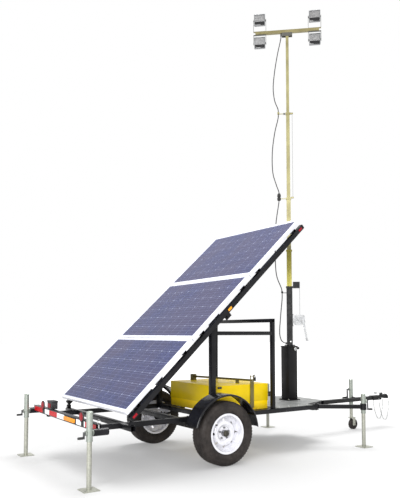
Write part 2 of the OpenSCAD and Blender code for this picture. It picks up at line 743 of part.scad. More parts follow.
module rear_lamps() color("#b3202b") from_axle() {
    face = frame_rear - rail - 2 * gap;
    // round tail lamps, each on a plate that stands up from the beam
    for (y = [-540, 540]) {
        block([face - 5, y - 30, beam_low + 8], [face, y + 30, beam_low + 132]);
        translate([face - 5, y, beam_low + 98]) rotate([0, -90, 0]) cylinder(r = 48, h = 20);
    }
    // long amber lamp on the beam, and the wiring box
    hull() for (y = [-353, -97])
        translate([face, y, beam_low + 35]) rotate([0, -90, 0]) cylinder(r = 22, h = 14);
    block([frame_rear - rail, 320, beam_low + beam_h + gap], [frame_rear + 30, 450, beam_low + beam_h + 92]);
}

main_frame();
drawbar();
deck_plate();
array_stand();
mast_column();
axle_beam();
leaf_springs();
fenders();
battery_box();
batteries();
charge_controller();
lid_hasp();
coupler();
safety_chains();
rear_lamps();
jack_mounts();
battery_lid();
lid_lock_bar();
coupler_latch();
tongue_jack_tube();
tongue_jack_leg();
caster_wheel();
tongue_jack_crank();
color("#b9bdb9") rear_jack(1);  // rear_left_jack
color("#c3c7c2") rear_leg(1);  // rear_left_leg
color("#5b5e60") rear_crank(1);  // rear_left_crank
color("#b9bdb9") rear_jack(-1);  // rear_right_jack
color("#c3c7c2") rear_leg(-1);  // rear_right_leg
color("#5b5e60") rear_crank(-1);  // rear_right_crank
color("#1c1d1f") front_arm(1);  // front_left_arm
color("#b9bdb9") front_jack(1);  // front_left_jack
color("#c3c7c2") front_leg(1);  // front_left_leg
color("#5b5e60") front_crank(1);  // front_left_crank
color("#1c1d1f") front_arm(-1);  // front_right_arm
color("#b9bdb9") front_jack(-1);  // front_right_jack
color("#c3c7c2") front_leg(-1);  // front_right_leg
color("#5b5e60") front_crank(-1);  // front_right_crank
tyre(1);  // left_tyre
rim(1);  // left_rim
tyre(-1);  // right_tyre
rim(-1);  // right_rim
array_frame();
panel_frames();
panel_laminates();
junction_boxes();
mast_tube_0();
winch();
winch_crank();
mast_tube_1();
mast_tube_2();
mast_tube_3();
mast_tube_4();
crosshead();
lamp(-lamp_x, upper_z);  // upper_left_lamp
lamp(lamp_x, upper_z);  // upper_right_lamp
lamp(-lamp_x, lower_z);  // lower_left_lamp
lamp(lamp_x, lower_z);  // lower_right_lamp
cable(cable_head, 3);  // cable_head_run
cable(cable_mid, 3);  // cable_mid_run
cable(cable_low, 2);  // cable_low_run
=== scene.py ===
# %% [markdown]
# # A solar light tower trailer
# This lesson dresses a trailer that stands on four crank jacks. It carries three solar
# panels, a yellow battery box and a telescoping mast with four flood lamps. The CAD frame
# gives every size and every joint. Blender adds what a maker would add last: rolled edges,
# tread, cells, links, bolts and paint.

# %% The frame and its box
import math

import bmesh
import bpy
from mathutils import Matrix, Vector


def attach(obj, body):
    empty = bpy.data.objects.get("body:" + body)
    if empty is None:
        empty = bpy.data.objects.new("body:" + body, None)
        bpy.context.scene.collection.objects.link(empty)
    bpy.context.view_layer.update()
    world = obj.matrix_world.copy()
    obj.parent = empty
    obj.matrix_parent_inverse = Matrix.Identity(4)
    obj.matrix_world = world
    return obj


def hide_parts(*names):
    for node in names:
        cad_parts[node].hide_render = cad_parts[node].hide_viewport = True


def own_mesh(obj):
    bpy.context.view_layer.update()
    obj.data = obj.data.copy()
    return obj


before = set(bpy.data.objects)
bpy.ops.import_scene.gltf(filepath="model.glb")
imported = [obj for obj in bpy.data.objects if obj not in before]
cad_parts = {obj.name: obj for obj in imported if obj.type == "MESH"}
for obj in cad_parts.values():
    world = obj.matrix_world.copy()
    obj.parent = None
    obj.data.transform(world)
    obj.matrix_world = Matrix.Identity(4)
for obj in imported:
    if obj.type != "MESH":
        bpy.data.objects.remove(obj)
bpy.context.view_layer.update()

# %% [markdown]
# The trailer was drawn in millimetres counted from its wheel axle, while the frame's
# origin lies under its middle. Two more sets of axes help: the mast is turned on its
# column, and the solar array leans back on its pivot. A matrix for each keeps the numbers
# of every piece simple.

# %% Three places to build from
AXLE_BACK = 938  # mm from the origin back to the axle
MAST_TURN, ARRAY_LEAN = -42, -42.8  # degrees
HERE = Matrix.Identity(4)
ON_TRAILER = Matrix.Translation((-AXLE_BACK / 1000, 0, 0))
ON_MAST = ON_TRAILER @ Matrix.Translation((1.586, -0.040, 0)) @ Matrix.Rotation(math.radians(MAST_TURN), 4, "Z")
ON_ARRAY = ON_TRAILER @ Matrix.Translation((0.030, 0, 1.550)) @ Matrix.Rotation(math.radians(ARRAY_LEAN), 4, "Y")


def mm(x, y, z):
    """A point given in millimetres."""
    return Vector((x / 1000, y / 1000, z / 1000))


def spot(x, y, z):
    """A place that is moved but not turned, in millimetres."""
    return Matrix.Translation(mm(x, y, z))


FACING = {
    "x": Matrix.Rotation(math.radians(90), 4, "Y"),
    "-x": Matrix.Rotation(math.radians(-90), 4, "Y"),
    "y": Matrix.Rotation(math.radians(-90), 4, "X"),
    "-y": Matrix.Rotation(math.radians(90), 4, "X"),
}
print("mast axis at", tuple(round(v, 3) for v in ON_MAST.translation))

# %% [markdown]
# The camera comes before the pieces, because the cords are measured against its view. It
# stands behind the right rear corner at a person's chest height, almost level, and its
# lens is shifted upwards to take in the tall mast without leaning the verticals.

# %% The camera
eye = bpy.data.cameras.new("eye")
eye.lens = 42.55
eye.sensor_width = 36
eye.shift_y = 0.0956
eye.clip_end = 200
camera = bpy.data.objects.new("camera", eye)
camera.location = (-4.5805, -5.7752, 1.3747)
camera.rotation_euler = (math.radians(93.4888), 0, math.radians(-33.6966))
bpy.context.scene.collection.objects.link(camera)
bpy.context.scene.camera = camera
print("camera at", tuple(camera.location))

# %% [markdown]
# Small helpers make the meshes. A slab is a box with softened edges, and a lathe turns an
# outline about an axis as a wood lathe does. Each adds to one open bmesh, so a piece can
# be put together from several of them.

# %% Slab and lathe


def around(count):
    """So many even angles round a full turn."""
    return [2 * math.pi * k / count for k in range(count)]


def slab(bm, low, high, place=ON_TRAILER, soften=0.0, steps=2):
    """A box between two corners in millimetres, with its edges softened by so many."""
    low, high = mm(*low), mm(*high)
    size, middle = high - low, (low + high) / 2
    stretched = place @ Matrix.Translation(middle) @ Matrix.Diagonal((*size, 1))
    made = bmesh.ops.create_cube(bm, size=1, matrix=stretched)
    if soften:
        edges = {e for v in made["verts"] for e in v.link_edges}
        bmesh.ops.bevel(bm, geom=list(edges), offset=soften / 1000, segments=steps, affect="EDGES", profile=0.5)


def lathe(bm, outline, place, steps=48):
    """Turns an outline of (radius, height) pairs in millimetres about the place's Z."""
    rings = []
    for radius, height in outline:
        ring = [(radius * math.cos(a), radius * math.sin(a)) for a in around(steps)] if radius else [(0, 0)]
        rings.append([bm.verts.new(place @ mm(x, y, height)) for x, y in ring])
    for a, b in zip(rings, rings[1:]):
        for k in range(steps):
            n = (k + 1) % steps
            corners = [a[k % len(a)], a[n % len(a)], b[n % len(b)], b[k % len(b)]]
            bm.faces.new([v for i, v in enumerate(corners) if v not in corners[:i]])


print("slab and lathe ready")

# %% [markdown]
# A hose carries a ring of points along a line and joins each ring to the next, which makes
# bars, ropes and cables. A prism is a flat plate cut to an outline. A smooth line turns a
# few points into many, along a curve that passes through each of them.

# %% Hose, prism and smooth line


def hose(bm, line, radius, sides=10, closed=False):
    """A round bar along points in metres. An open one gets flat ends."""
    count = len(line)
    rings, side = [], None
    for i, point in enumerate(line):
        before = line[i - 1] if (closed or i) else point
        after = line[(i + 1) % count] if (closed or i < count - 1) else point
        ahead = (after - before).normalized()
        side = (side or ahead.orthogonal()) - ahead * ahead.dot(side or ahead.orthogonal())
        side.normalize()
        up = ahead.cross(side)
        ring = [point + radius * (math.cos(a) * side + math.sin(a) * up) for a in around(sides)]
        rings.append([bm.verts.new(v) for v in ring])
    for i in range(count if closed else count - 1):
        a, b = rings[i], rings[(i + 1) % count]
        for k in range(sides):
            n = (k + 1) % sides
            bm.faces.new((a[k], a[n], b[n], b[k]))
    if not closed:
        bm.faces.new(rings[0])
        bm.faces.new(rings[-1][::-1])


def prism(bm, outline, depth, place):
    """A flat plate cut to an outline of (x, y) pairs in millimetres."""
    low = [bm.verts.new(place @ mm(x, y, 0)) for x, y in outline]
    high = [bm.verts.new(place @ mm(x, y, depth)) for x, y in outline]
    bm.faces.new(low[::-1])
    bm.faces.new(high)
    for k in range(len(outline)):
        n = (k + 1) % len(outline)
        bm.faces.new((low[k], low[n], high[n], high[k]))


def smooth_line(points, per=6):
    """A smooth curve through points, as a list with so many steps between each two."""
    line = []
    for i in range(len(points) - 1):
        a, b, c, d = points[max(i - 1, 0)], points[i], points[i + 1], points[min(i + 2, len(points) - 1)]
        for k in range(per):
            t = k / per
            bend = (2 * a - 5 * b + 4 * c - d) * t * t + (3 * b - a - 3 * c + d) * t**3
            line.append(0.5 * (2 * b + (c - a) * t + bend))
    return line + [points[-1]]


print("hose, prism and smooth line ready")

# %% [markdown]
# A finished piece is one object at the origin, with its place in its mesh. Its faces point
# outwards, edges sharper than 35 degrees stay crisp, and it rides on a body by name. It
# gets its finish, and any CAD parts that it stands for are hidden.

# %% Turning a bmesh into a finished piece


def settle(name, mesh, finish, body, stands_for=()):
    """Links a mesh as a piece with its finish, sets it on its body and hides what it stands for."""
    piece = bpy.data.objects.new(name, mesh)
    bpy.context.scene.collection.objects.link(piece)
    mesh.materials.clear()
    mesh.materials.append(finish)
    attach(piece, body)
    if stands_for:
        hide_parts(*stands_for)
    return piece


def mesh_of(bm, crisp=35, turn_out=True):
    """Closes a bmesh into a mesh with outward faces and crisp edges."""
    if turn_out:
        bmesh.ops.recalc_face_normals(bm, faces=bm.faces)
    for face in bm.faces:
        face.smooth = True
    for edge in bm.edges:
        edge.smooth = edge.calc_face_angle(math.pi) < math.radians(crisp)
    mesh = bpy.data.meshes.new("made")
    bm.to_mesh(mesh)
    bm.free()
    return mesh


# %% [markdown]
# ## Paint and plating
# Nearly every surface here is a coating on metal. What the eye reads as real is the small
# change from place to place: the tone drifts, the gloss drifts, and powder coat has a fine
# orange peel. Short functions for the nodes that every finish needs keep each recipe down
# to a few lines.

# %% Nodes that every finish needs


def put(tree, kind, inputs=None, **settings):
    """Adds a node. An input given as a socket is linked, any other is set as a value."""
    node = tree.nodes.new(kind)
    for key, value in settings.items():
        setattr(node, key, value)
    for key, value in (inputs or {}).items():
        if isinstance(value, bpy.types.NodeSocket):
            tree.links.new(value, node.inputs[key])
        else:
            node.inputs[key].default_value = value
    return node


def new_finish(name, **constant):
    """A fresh material: its tree, its shader and the object coordinates."""
    material = bpy.data.materials.new(name)
    material.use_nodes = True
    tree = material.node_tree
    shader = tree.nodes["Principled BSDF"]
    for key, value in constant.items():
        shader.inputs[key.replace("_", " ")].default_value = value
    where = put(tree, "ShaderNodeTexCoord").outputs["Object"]
    return material, tree, shader, where


def blend_of(tree, share, low, high):
    """Two colours mixed by a share."""
    mix = put(tree, "ShaderNodeMix", {"Factor": share}, data_type="RGBA")
    for socket, value in ((mix.inputs[6], low), (mix.inputs[7], high)):
        if isinstance(value, bpy.types.NodeSocket):
            tree.links.new(value, socket)
        else:
            socket.default_value = (*value, 1)
    return mix.outputs[2]


def ramp_of(tree, value, low, high, start=0.0, end=1.0):
    """A smooth step of a value, from start to end."""
    inputs = {"Value": value, "From Min": low, "From Max": high, "To Min": start, "To Max": end}
    return put(tree, "ShaderNodeMapRange", inputs, interpolation_type="SMOOTHSTEP").outputs["Result"]


def noise_of(tree, where, scale, detail=2, rough=0.5):
    """Noise over the surface, as a share."""
    inputs = {"Vector": where, "Scale": scale, "Detail": detail, "Roughness": rough}
    return put(tree, "ShaderNodeTexNoise", inputs).outputs["Fac"]


def maths(tree, operation, *values):
    """The result of one math node."""
    return put(tree, "ShaderNodeMath", dict(enumerate(values)), operation=operation).outputs[0]


def apart(tree, vector):
    """The X, Y and Z of a vector."""
    return put(tree, "ShaderNodeSeparateXYZ", {"Vector": vector}).outputs


def dress(tree, shader, colour, gloss=None, height=None, bump=0.0, distance=0.001):
    """Joins a colour, a gloss and a fine relief to the shader."""
    tree.links.new(colour, shader.inputs["Base Color"])
    if gloss:
        tree.links.new(gloss, shader.inputs["Roughness"])
    if height:
        relief = put(tree, "ShaderNodeBump", {"Height": height, "Strength": bump, "Distance": distance})
        tree.links.new(relief.outputs["Normal"], shader.inputs["Normal"])


print("node helpers ready")

# %% [markdown]
# Most finishes here are coatings of one kind. Two tones are mixed by noise in object
# space, so the pattern stays fixed to the metal and needs no unwrapping.

# %% Coatings


def coating(name, dark, light, gloss=(0.35, 0.5), metallic=0.0, patch=6.0, peel=900.0, bump=0.05, mirror=0.5):
    """Two tones drifting over metal, with a gloss that drifts too and a fine relief."""
    material, tree, shader, where = new_finish(name, Metallic=metallic, Specular_IOR_Level=mirror)
    share = ramp_of(tree, noise_of(tree, where, patch, 6, 0.6), 0.32, 0.68)
    smear = ramp_of(tree, noise_of(tree, where, patch * 3.7, 4), 0.3, 0.7, *gloss)
    dress(tree, shader, blend_of(tree, share, dark, light), smear, noise_of(tree, where, peel), bump)
    return material


frame_black = coating("frame_black", (0.003, 0.003, 0.004), (0.009, 0.009, 0.011), (0.25, 0.4), patch=4, mirror=0.22)
mast_black = coating("mast_black", (0.003, 0.003, 0.003), (0.007, 0.007, 0.008), (0.3, 0.45), patch=5, mirror=0.2)
axle_black = coating(
    "axle_black", (0.005, 0.005, 0.006), (0.022, 0.020, 0.018), (0.5, 0.75), patch=11, bump=0.2, mirror=0.25
)
fender_black = coating(
    "fender_black", (0.003, 0.003, 0.004), (0.007, 0.007, 0.009), (0.14, 0.26), patch=3, mirror=0.35
)
deck_grey = coating("deck_grey", (0.13, 0.135, 0.13), (0.21, 0.215, 0.21), (0.38, 0.6), 0.2, patch=7, bump=0.1)
aluminium = coating("aluminium", (0.60, 0.61, 0.65), (0.72, 0.73, 0.78), (0.3, 0.42), 0.15, patch=9, peel=1500)
bright_zinc = coating("bright_zinc", (0.40, 0.41, 0.41), (0.58, 0.59, 0.58), (0.25, 0.4), 0.8, patch=22)
dark_zinc = coating("dark_zinc", (0.035, 0.034, 0.028), (0.09, 0.085, 0.065), (0.35, 0.5), 0.6, patch=30)
crank_steel = coating("crank_steel", (0.06, 0.06, 0.065), (0.15, 0.15, 0.155), (0.35, 0.5), 0.8, patch=25)
winch_grey = coating("winch_grey", (0.27, 0.275, 0.28), (0.40, 0.405, 0.41), (0.35, 0.5), 0.4, patch=18, mirror=0.3)
moulded_black = coating(
    "moulded_black", (0.012, 0.012, 0.013), (0.026, 0.026, 0.028), (0.45, 0.6), patch=20, bump=0.12
)
grip_rubber = coating("grip_rubber", (0.012, 0.012, 0.012), (0.03, 0.03, 0.03), (0.7, 0.85), patch=30, bump=0.3)
battery_case = coating("battery_case", (0.02, 0.022, 0.026), (0.05, 0.055, 0.06), (0.4, 0.55), patch=15, bump=0.1)
controller_grey = coating("controller_grey", (0.30, 0.32, 0.34), (0.42, 0.44, 0.46), (0.35, 0.5), 0.6, patch=14)
cable_jacket = coating("cable_jacket", (0.012, 0.012, 0.013), (0.03, 0.03, 0.032), (0.5, 0.7), patch=40, bump=0.15)
wire_rope_steel = coating("wire_rope_steel", (0.32, 0.33, 0.33), (0.55, 0.56, 0.56), (0.3, 0.5), 0.9, patch=300)
print(len(bpy.data.materials), "coatings")

# %% [markdown]
# Four finishes need a rule of their own. The jacks are hot-dip zinc, which freezes into
# pale spangles, so a Voronoi pattern shifts their tone. The mast is chromate plated: a
# yellow-green gold that drifts towards straw. The battery box is yellow powder coat that
# turns darker and browner in patches near its foot. The wheel is white enamel, but its nuts are bare steel, and
# since both are one CAD part the paint asks how far a point lies from the wheel's middle.

# %% Zinc, chromate, yellow powder coat and wheel enamel
BAR_MIDDLE, BAR_HALF = 5.406, 0.0205  # the lamp bar's middle height and its half height


def spangled(name, dark, light, size):
    """Hot-dip zinc: flat crystals, each of its own tone."""
    material, tree, shader, where = new_finish(name, Metallic=0.55)
    crystal = put(tree, "ShaderNodeTexVoronoi", {"Vector": where, "Scale": size, "Randomness": 1.0})
    tone = put(tree, "ShaderNodeSeparateColor", {"Color": crystal.outputs["Color"]}).outputs
    drift = noise_of(tree, where, 9, 5)
    base = blend_of(tree, maths(tree, "MULTIPLY", tone["Red"], drift), dark, light)
    dress(tree, shader, base, ramp_of(tree, tone["Green"], 0.0, 1.0, 0.34, 0.52), drift, 0.08, 0.002)
    return material


def chromate(name, straw, gold, yoke_tone=None):
    """Yellow chromate: gold that slides towards green and straw, with draw marks."""
    material, tree, shader, where = new_finish(name, Metallic=0.35)
    long_way = put(tree, "ShaderNodeMapping", {"Vector": where, "Scale": (30, 30, 1.5)}).outputs[0]
    marks = noise_of(tree, long_way, 4, 8, 0.7)
    base = blend_of(tree, ramp_of(tree, noise_of(tree, where, 5, 5), 0.3, 0.7), straw, gold)
    if yoke_tone:  # on the lamp bar, whatever stands above or below the tube is a yoke
        away = maths(tree, "ABSOLUTE", maths(tree, "SUBTRACT", apart(tree, where)["Z"], BAR_MIDDLE))
        base = blend_of(tree, ramp_of(tree, away, BAR_HALF, BAR_HALF + 0.001), base, yoke_tone)
    dress(tree, shader, base, ramp_of(tree, marks, 0.3, 0.7, 0.3, 0.48), marks, 0.06)
    return material


def box_yellow(name, low, high):
    """Yellow powder coat that turns darker and browner in patches near its foot."""
    material, tree, shader, where = new_finish(name, Specular_IOR_Level=0.18)
    drift = noise_of(tree, where, 5, 6)
    paint = blend_of(tree, ramp_of(tree, drift, 0.3, 0.7), low, high)
    # darker and browner in noisy patches over the lowest ten centimetres of the box
    near_foot = ramp_of(tree, apart(tree, where)["Z"], 0.50, 0.60, 0.55, 0.0)
    foot_darkening = maths(tree, "MULTIPLY", near_foot, noise_of(tree, where, 60, 8))
    foot_darkened = blend_of(tree, foot_darkening, paint, (0.22, 0.15, 0.06))
    dress(tree, shader, foot_darkened, ramp_of(tree, drift, 0.3, 0.7, 0.28, 0.42), noise_of(tree, where, 700), 0.05)
    return material


def wheel_enamel(name, hub_high=0.332, nut_reach=0.071, rim_face=0.7592):
    """White enamel, with bare steel wherever a point is near the middle and stands out."""
    material, tree, shader, where = new_finish(name, Coat_Weight=0.3, Coat_Roughness=0.1)
    parts = apart(tree, where)
    from_axle = maths(tree, "ADD", parts["X"], AXLE_BACK / 1000)
    from_hub = maths(tree, "SUBTRACT", parts["Z"], hub_high)
    flat = put(tree, "ShaderNodeCombineXYZ", {"X": from_axle, "Y": from_hub}).outputs[0]
    radius = put(tree, "ShaderNodeVectorMath", {0: flat}, operation="LENGTH").outputs["Value"]
    near = ramp_of(tree, radius, nut_reach, nut_reach + 0.002, 1.0, 0.0)
    proud = ramp_of(tree, maths(tree, "ABSOLUTE", parts["Y"]), rim_face, rim_face + 0.0002)
    steel = maths(tree, "MULTIPLY", near, proud)
    drift = noise_of(tree, where, 12, 6)
    enamel = blend_of(tree, ramp_of(tree, drift, 0.35, 0.65), (0.66, 0.66, 0.70), (0.76, 0.76, 0.80))
    base = blend_of(tree, steel, enamel, (0.23, 0.23, 0.24))
    dress(tree, shader, base, ramp_of(tree, drift, 0.3, 0.7, 0.22, 0.38))
    tree.links.new(steel, shader.inputs["Metallic"])
    return material


jack_zinc = spangled("jack_zinc", (0.27, 0.30, 0.27), (0.42, 0.44, 0.39), 70)
leg_zinc = spangled("leg_zinc", (0.32, 0.325, 0.28), (0.50, 0.50, 0.43), 90)
mast_gold = chromate("mast_gold", (0.23, 0.205, 0.095), (0.35, 0.32, 0.15))
low_gold = chromate("low_gold", (0.29, 0.255, 0.04), (0.39, 0.35, 0.06))
lock_olive = chromate("lock_olive", (0.10, 0.083, 0.020), (0.19, 0.155, 0.045))
bar_gold = chromate("bar_gold", (0.17, 0.145, 0.06), (0.27, 0.235, 0.11), yoke_tone=(0.10, 0.098, 0.085))
tray_yellow = box_yellow("tray_yellow", (0.92, 0.62, 0.0004), (0.96, 0.68, 0.0008))
# the lid has the tray's powder coat; its darker tones are painted shade on the lid's top
lid_yellow = box_yellow("lid_yellow", (0.66, 0.46, 0.001), (0.75, 0.54, 0.003))
rim_enamel = wheel_enamel("rim_enamel")
print("zinc, chromate, yellow and enamel ready")

# %% [markdown]
# ## Solar glass
# A polycrystalline cell is a slice of cast silicon, so it shows flat grains that catch the
# light by turns, from navy to violet. It lies under glass, which is what gives the panel
# its sky-like sheen: a clear coat on the shader gives part of it without a second surface,
# and a broad grey-blue drift painted into the cells' colour is painted sheen for the rest.

# %% Silicon, back sheet and tin ribbon


def silicon(name):
    """Cast silicon under glass: angular grains from navy to violet, under a broad painted grey-blue sheen."""
    material, tree, shader, where = new_finish(
        name, Specular_IOR_Level=0.12, Coat_Weight=0.3, Coat_Roughness=0.1, Roughness=0.4
    )
    shift = put(tree, "ShaderNodeTexNoise", {"Vector": where, "Scale": 60, "Detail": 2})
    bent = put(tree, "ShaderNodeMix", {"Factor": 0.02}, data_type="VECTOR")
    tree.links.new(where, bent.inputs[4])
    tree.links.new(shift.outputs["Color"], bent.inputs[5])
    grain = put(tree, "ShaderNodeTexVoronoi", {"Vector": bent.outputs[1], "Scale": 75, "Randomness": 1.0})
    tone = put(tree, "ShaderNodeSeparateColor", {"Color": grain.outputs["Color"]}).outputs["Red"]
    cool = blend_of(tree, tone, (0.010, 0.014, 0.055), (0.036, 0.044, 0.135))
    # a broad grey-blue drift mixed into the colour is painted sheen, standing in for the sky's reflection in the
    # glass
    painted_sheen_share = ramp_of(tree, noise_of(tree, where, 1.6, 3), 0.35, 0.65)
    dress(tree, shader, blend_of(tree, painted_sheen_share, cool, (0.036, 0.034, 0.085)))
    return material


silicon_blue = silicon("silicon_blue")
back_sheet = coating(
    "back_sheet", (0.26, 0.29, 0.42), (0.33, 0.36, 0.50), (0.4, 0.5), patch=3, bump=0.02, mirror=0.1
)
tin_ribbon = coating("tin_ribbon", (0.11, 0.13, 0.26), (0.16, 0.18, 0.33), (0.35, 0.45), 0.2, patch=50, bump=0.02)
print("panel finishes ready")

# %% [markdown]
# ## Rubber, lenses and reflectors
# Tyre rubber is never quite black: the sidewall is a warm grey-brown where wax and dust
# dry on it. Lenses are coloured plastic with a bright back, and
# reflective tape is a bright sheet of tiny cells, so it gets a fine honeycomb relief.

# %% Tyre rubber, lenses, tape and lamps
tyre_rubber = coating(
    "tyre_rubber", (0.013, 0.010, 0.009), (0.032, 0.026, 0.023), (0.6, 0.8), patch=10, bump=0.25, mirror=0.3
)


def honeycomb(name, dark, light):
    """Reflective sheet or a moulded lens: a bright colour over fine cells."""
    material, tree, shader, where = new_finish(
        name, Coat_Weight=0.12, Coat_Roughness=0.08, Roughness=0.5, Specular_IOR_Level=0.2
    )
    cell = put(tree, "ShaderNodeTexVoronoi", {"Vector": where, "Scale": 160, "Randomness": 0.0}).outputs["Distance"]
    dress(tree, shader, blend_of(tree, ramp_of(tree, cell, 0.2, 0.7), light, dark), None, cell, 0.2)
    return material


tape_red = honeycomb("tape_red", (0.40, 0.002, 0.006), (0.66, 0.006, 0.012))
tape_white = honeycomb("tape_white", (0.72, 0.73, 0.75), (0.88, 0.89, 0.91))
lens_red = honeycomb("lens_red", (0.15, 0.001, 0.006), (0.36, 0.004, 0.014))
lens_amber = honeycomb("lens_amber", (0.72, 0.22, 0.005), (0.95, 0.42, 0.02))
lamp_casting = coating(
    "lamp_casting", (0.17, 0.175, 0.18), (0.27, 0.275, 0.28), (0.4, 0.55), 0.3, patch=16, bump=0.2
)
led_white = coating("led_white", (0.45, 0.45, 0.44), (0.60, 0.60, 0.58), (0.2, 0.3), patch=90, bump=0.02)
led_tray = coating("led_tray", (0.16, 0.16, 0.165), (0.24, 0.24, 0.245), (0.2, 0.35), 0.5, patch=40)
gloss_black = coating(
    "gloss_black", (0.004, 0.004, 0.005), (0.009, 0.009, 0.010), (0.1, 0.2), patch=12, bump=0.02
)
print(len(bpy.data.materials), "finishes in all")

# %% [markdown]
# ## The steel that stays
# Tubes, plates and posts come straight from the CAD model and need no new shape, only
# their paint. Each CAD part keeps its one slot, so a dictionary from part to finish is
# enough. Large flat parts with hard corners would look cut from paper, though, so the next
# cell makes softened copies of some of them.

# %% Paint for every CAD part
PAINT = {
    frame_black: "main_frame array_stand jack_mounts front_left_arm front_right_arm array_frame",
    mast_black: "mast_column mast_tube_0 drawbar coupler",
    axle_black: "axle_beam leaf_springs",
    deck_grey: "deck_plate",
    aluminium: "panel_frames",
    back_sheet: "panel_laminates",
    moulded_black: "junction_boxes",
    battery_case: "batteries",
    controller_grey: "charge_controller",
    bright_zinc: "coupler_latch",
    lock_olive: "lid_hasp lid_lock_bar",
    jack_zinc: "tongue_jack_tube rear_left_jack rear_right_jack front_left_jack front_right_jack",
    leg_zinc: "tongue_jack_leg rear_left_leg rear_right_leg front_left_leg front_right_leg",
    crank_steel: "tongue_jack_crank rear_left_crank rear_right_crank front_left_crank front_right_crank",
    winch_grey: "winch_crank",
    low_gold: "mast_tube_1",
    mast_gold: "mast_tube_2 mast_tube_3 mast_tube_4",
    bar_gold: "crosshead",
    tray_yellow: "battery_box",
    lid_yellow: "battery_lid",
    rim_enamel: "left_rim right_rim",
    tyre_rubber: "caster_wheel",
}
for finish, names in PAINT.items():
    for name in names.split():
        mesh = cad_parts[name].data
        mesh.materials.clear()
        mesh.materials.append(finish)
print(sum(len(names.split()) for names in PAINT.values()), "CAD parts painted")

# %% [markdown]
# Real tube and sheet have rounded corners, and the thin highlight along them is what
# makes steel look like steel. The CAD mesh must not change, so a copy has its doubles
# merged and its flat faces joined, and then a bevel rounds its sharp edges.

# %% Softened copies of the flat steel
SOFTEN = [  # part, corner radius in mm, finish, body, slot
    ("main_frame", 4, frame_black, "chassis", "frame_black"),
    ("array_stand", 4, frame_black, "chassis", "frame_black"),
    ("mast_column", 5, mast_black, "chassis", "mast_black"),
    ("drawbar", 5, mast_black, "chassis", "tongue_black"),
    ("battery_box", 3, tray_yellow, "chassis", "box_yellow"),
    ("battery_lid", 4, lid_yellow, "box_lid", "box_yellow"),
    ("panel_frames", 1, aluminium, "array", "panel_aluminium"),
]


def softened(node, radius, finish, body, slot):
    """A copy of a CAD part with rounded corners, standing for it."""
    bm = bmesh.new()
    bm.from_mesh(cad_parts[node].data)
    bmesh.ops.remove_doubles(bm, verts=bm.verts, dist=1e-5)
    bmesh.ops.dissolve_limit(bm, angle_limit=math.radians(1), verts=bm.verts, edges=bm.edges)
    edges = [e for e in bm.edges if e.is_manifold and e.calc_face_angle() > math.radians(50)]
    bmesh.ops.bevel(
        bm, geom=edges, offset=radius / 1000, segments=2, affect="EDGES", profile=0.5, clamp_overlap=True
    )
    bmesh.ops.triangulate(bm, faces=[f for f in bm.faces if len(f.verts) > 4])
    return settle(f"{node}_softened", mesh_of(bm, 30, turn_out=False), finish, body, [node])


for row in SOFTEN:
    piece = softened(*row)
    print(piece.name, len(piece.data.polygons), "faces")

# %% [markdown]
# ## Trees that repeat things
# Geometry Nodes place what repeats. Three small trees cover the trailer: a grid of copies,
# a ring of copies and copies along a curve. Each takes the shape that it repeats from
# another object, has named inputs for its sizes, and ends in Realize Instances and Set
# Material so that the result is a plain mesh.

# %% Building and growing a tree
COMMON_INPUTS = {"Shape": "Object", "Finish": "Material"}


def new_tree(name, inputs):
    """A geometry tree with named inputs, given as name: socket type."""
    tree = bpy.data.node_groups.new(name, "GeometryNodeTree")
    tree.interface.new_socket(name="Geometry", in_out="INPUT", socket_type="NodeSocketGeometry")
    for key, kind in {**COMMON_INPUTS, **inputs}.items():
        tree.interface.new_socket(name=key, in_out="INPUT", socket_type=f"NodeSocket{kind}")
    tree.interface.new_socket(name="Geometry", in_out="OUTPUT", socket_type="NodeSocketGeometry")
    return tree, put(tree, "NodeGroupInput").outputs


def end_tree(tree, given, points, **turned):
    """Sets the shape on points, realizes the copies and gives them their material."""
    shape = put(tree, "GeometryNodeObjectInfo", {"Object": given["Shape"]}).outputs["Geometry"]
    copies = put(tree, "GeometryNodeInstanceOnPoints", {"Points": points, "Instance": shape, **turned})
    real = put(tree, "GeometryNodeRealizeInstances", {"Geometry": copies.outputs[0]})
    dressed = put(tree, "GeometryNodeSetMaterial", {"Geometry": real.outputs[0], "Material": given["Finish"]})
    put(tree, "NodeGroupOutput", {"Geometry": dressed.outputs[0]})


def grown(tree, place=None, host=None, **inputs):
    """Runs a tree on an object and returns its result as a plain mesh."""
    carrier = host or bpy.data.objects.new("carrier", bpy.data.meshes.new("carrier"))
    bpy.context.scene.collection.objects.link(carrier)
    modifier = carrier.modifiers.new("grow", "NODES")
    modifier.node_group = tree
    for item in tree.interface.items_tree:
        key = item.name.replace(" ", "_")
        if item.in_out == "INPUT" and key in inputs:
            modifier[item.identifier] = inputs[key]
    mesh = bpy.data.meshes.new_from_object(carrier.evaluated_get(bpy.context.evaluated_depsgraph_get()))
    carrier.modifiers.clear()
    bpy.data.objects.remove(carrier)
    if place:
        mesh.transform(place)
    return mesh


def pattern(name, bm, crisp=35):
    """A small mesh kept out of the scene, for a tree to repeat."""
    return bpy.data.objects.new(name, mesh_of(bm, crisp))


print("helpers ready: new_tree, end_tree, grown and pattern")

# %% [markdown]
# The grid lies in the XY plane about its own middle. A count of one leaves a single row,
# so the same tree serves for rows too.

# %% A grid of copies
grid_tree, given = new_tree(
    "grid_of_copies", {"Columns": "Int", "Rows": "Int", "Pitch X": "Float", "Pitch Y": "Float"}
)


def span(tree, count, pitch):
    """The length from the first copy to the last."""
    return maths(tree, "MULTIPLY", maths(tree, "SUBTRACT", count, 1.0), pitch)


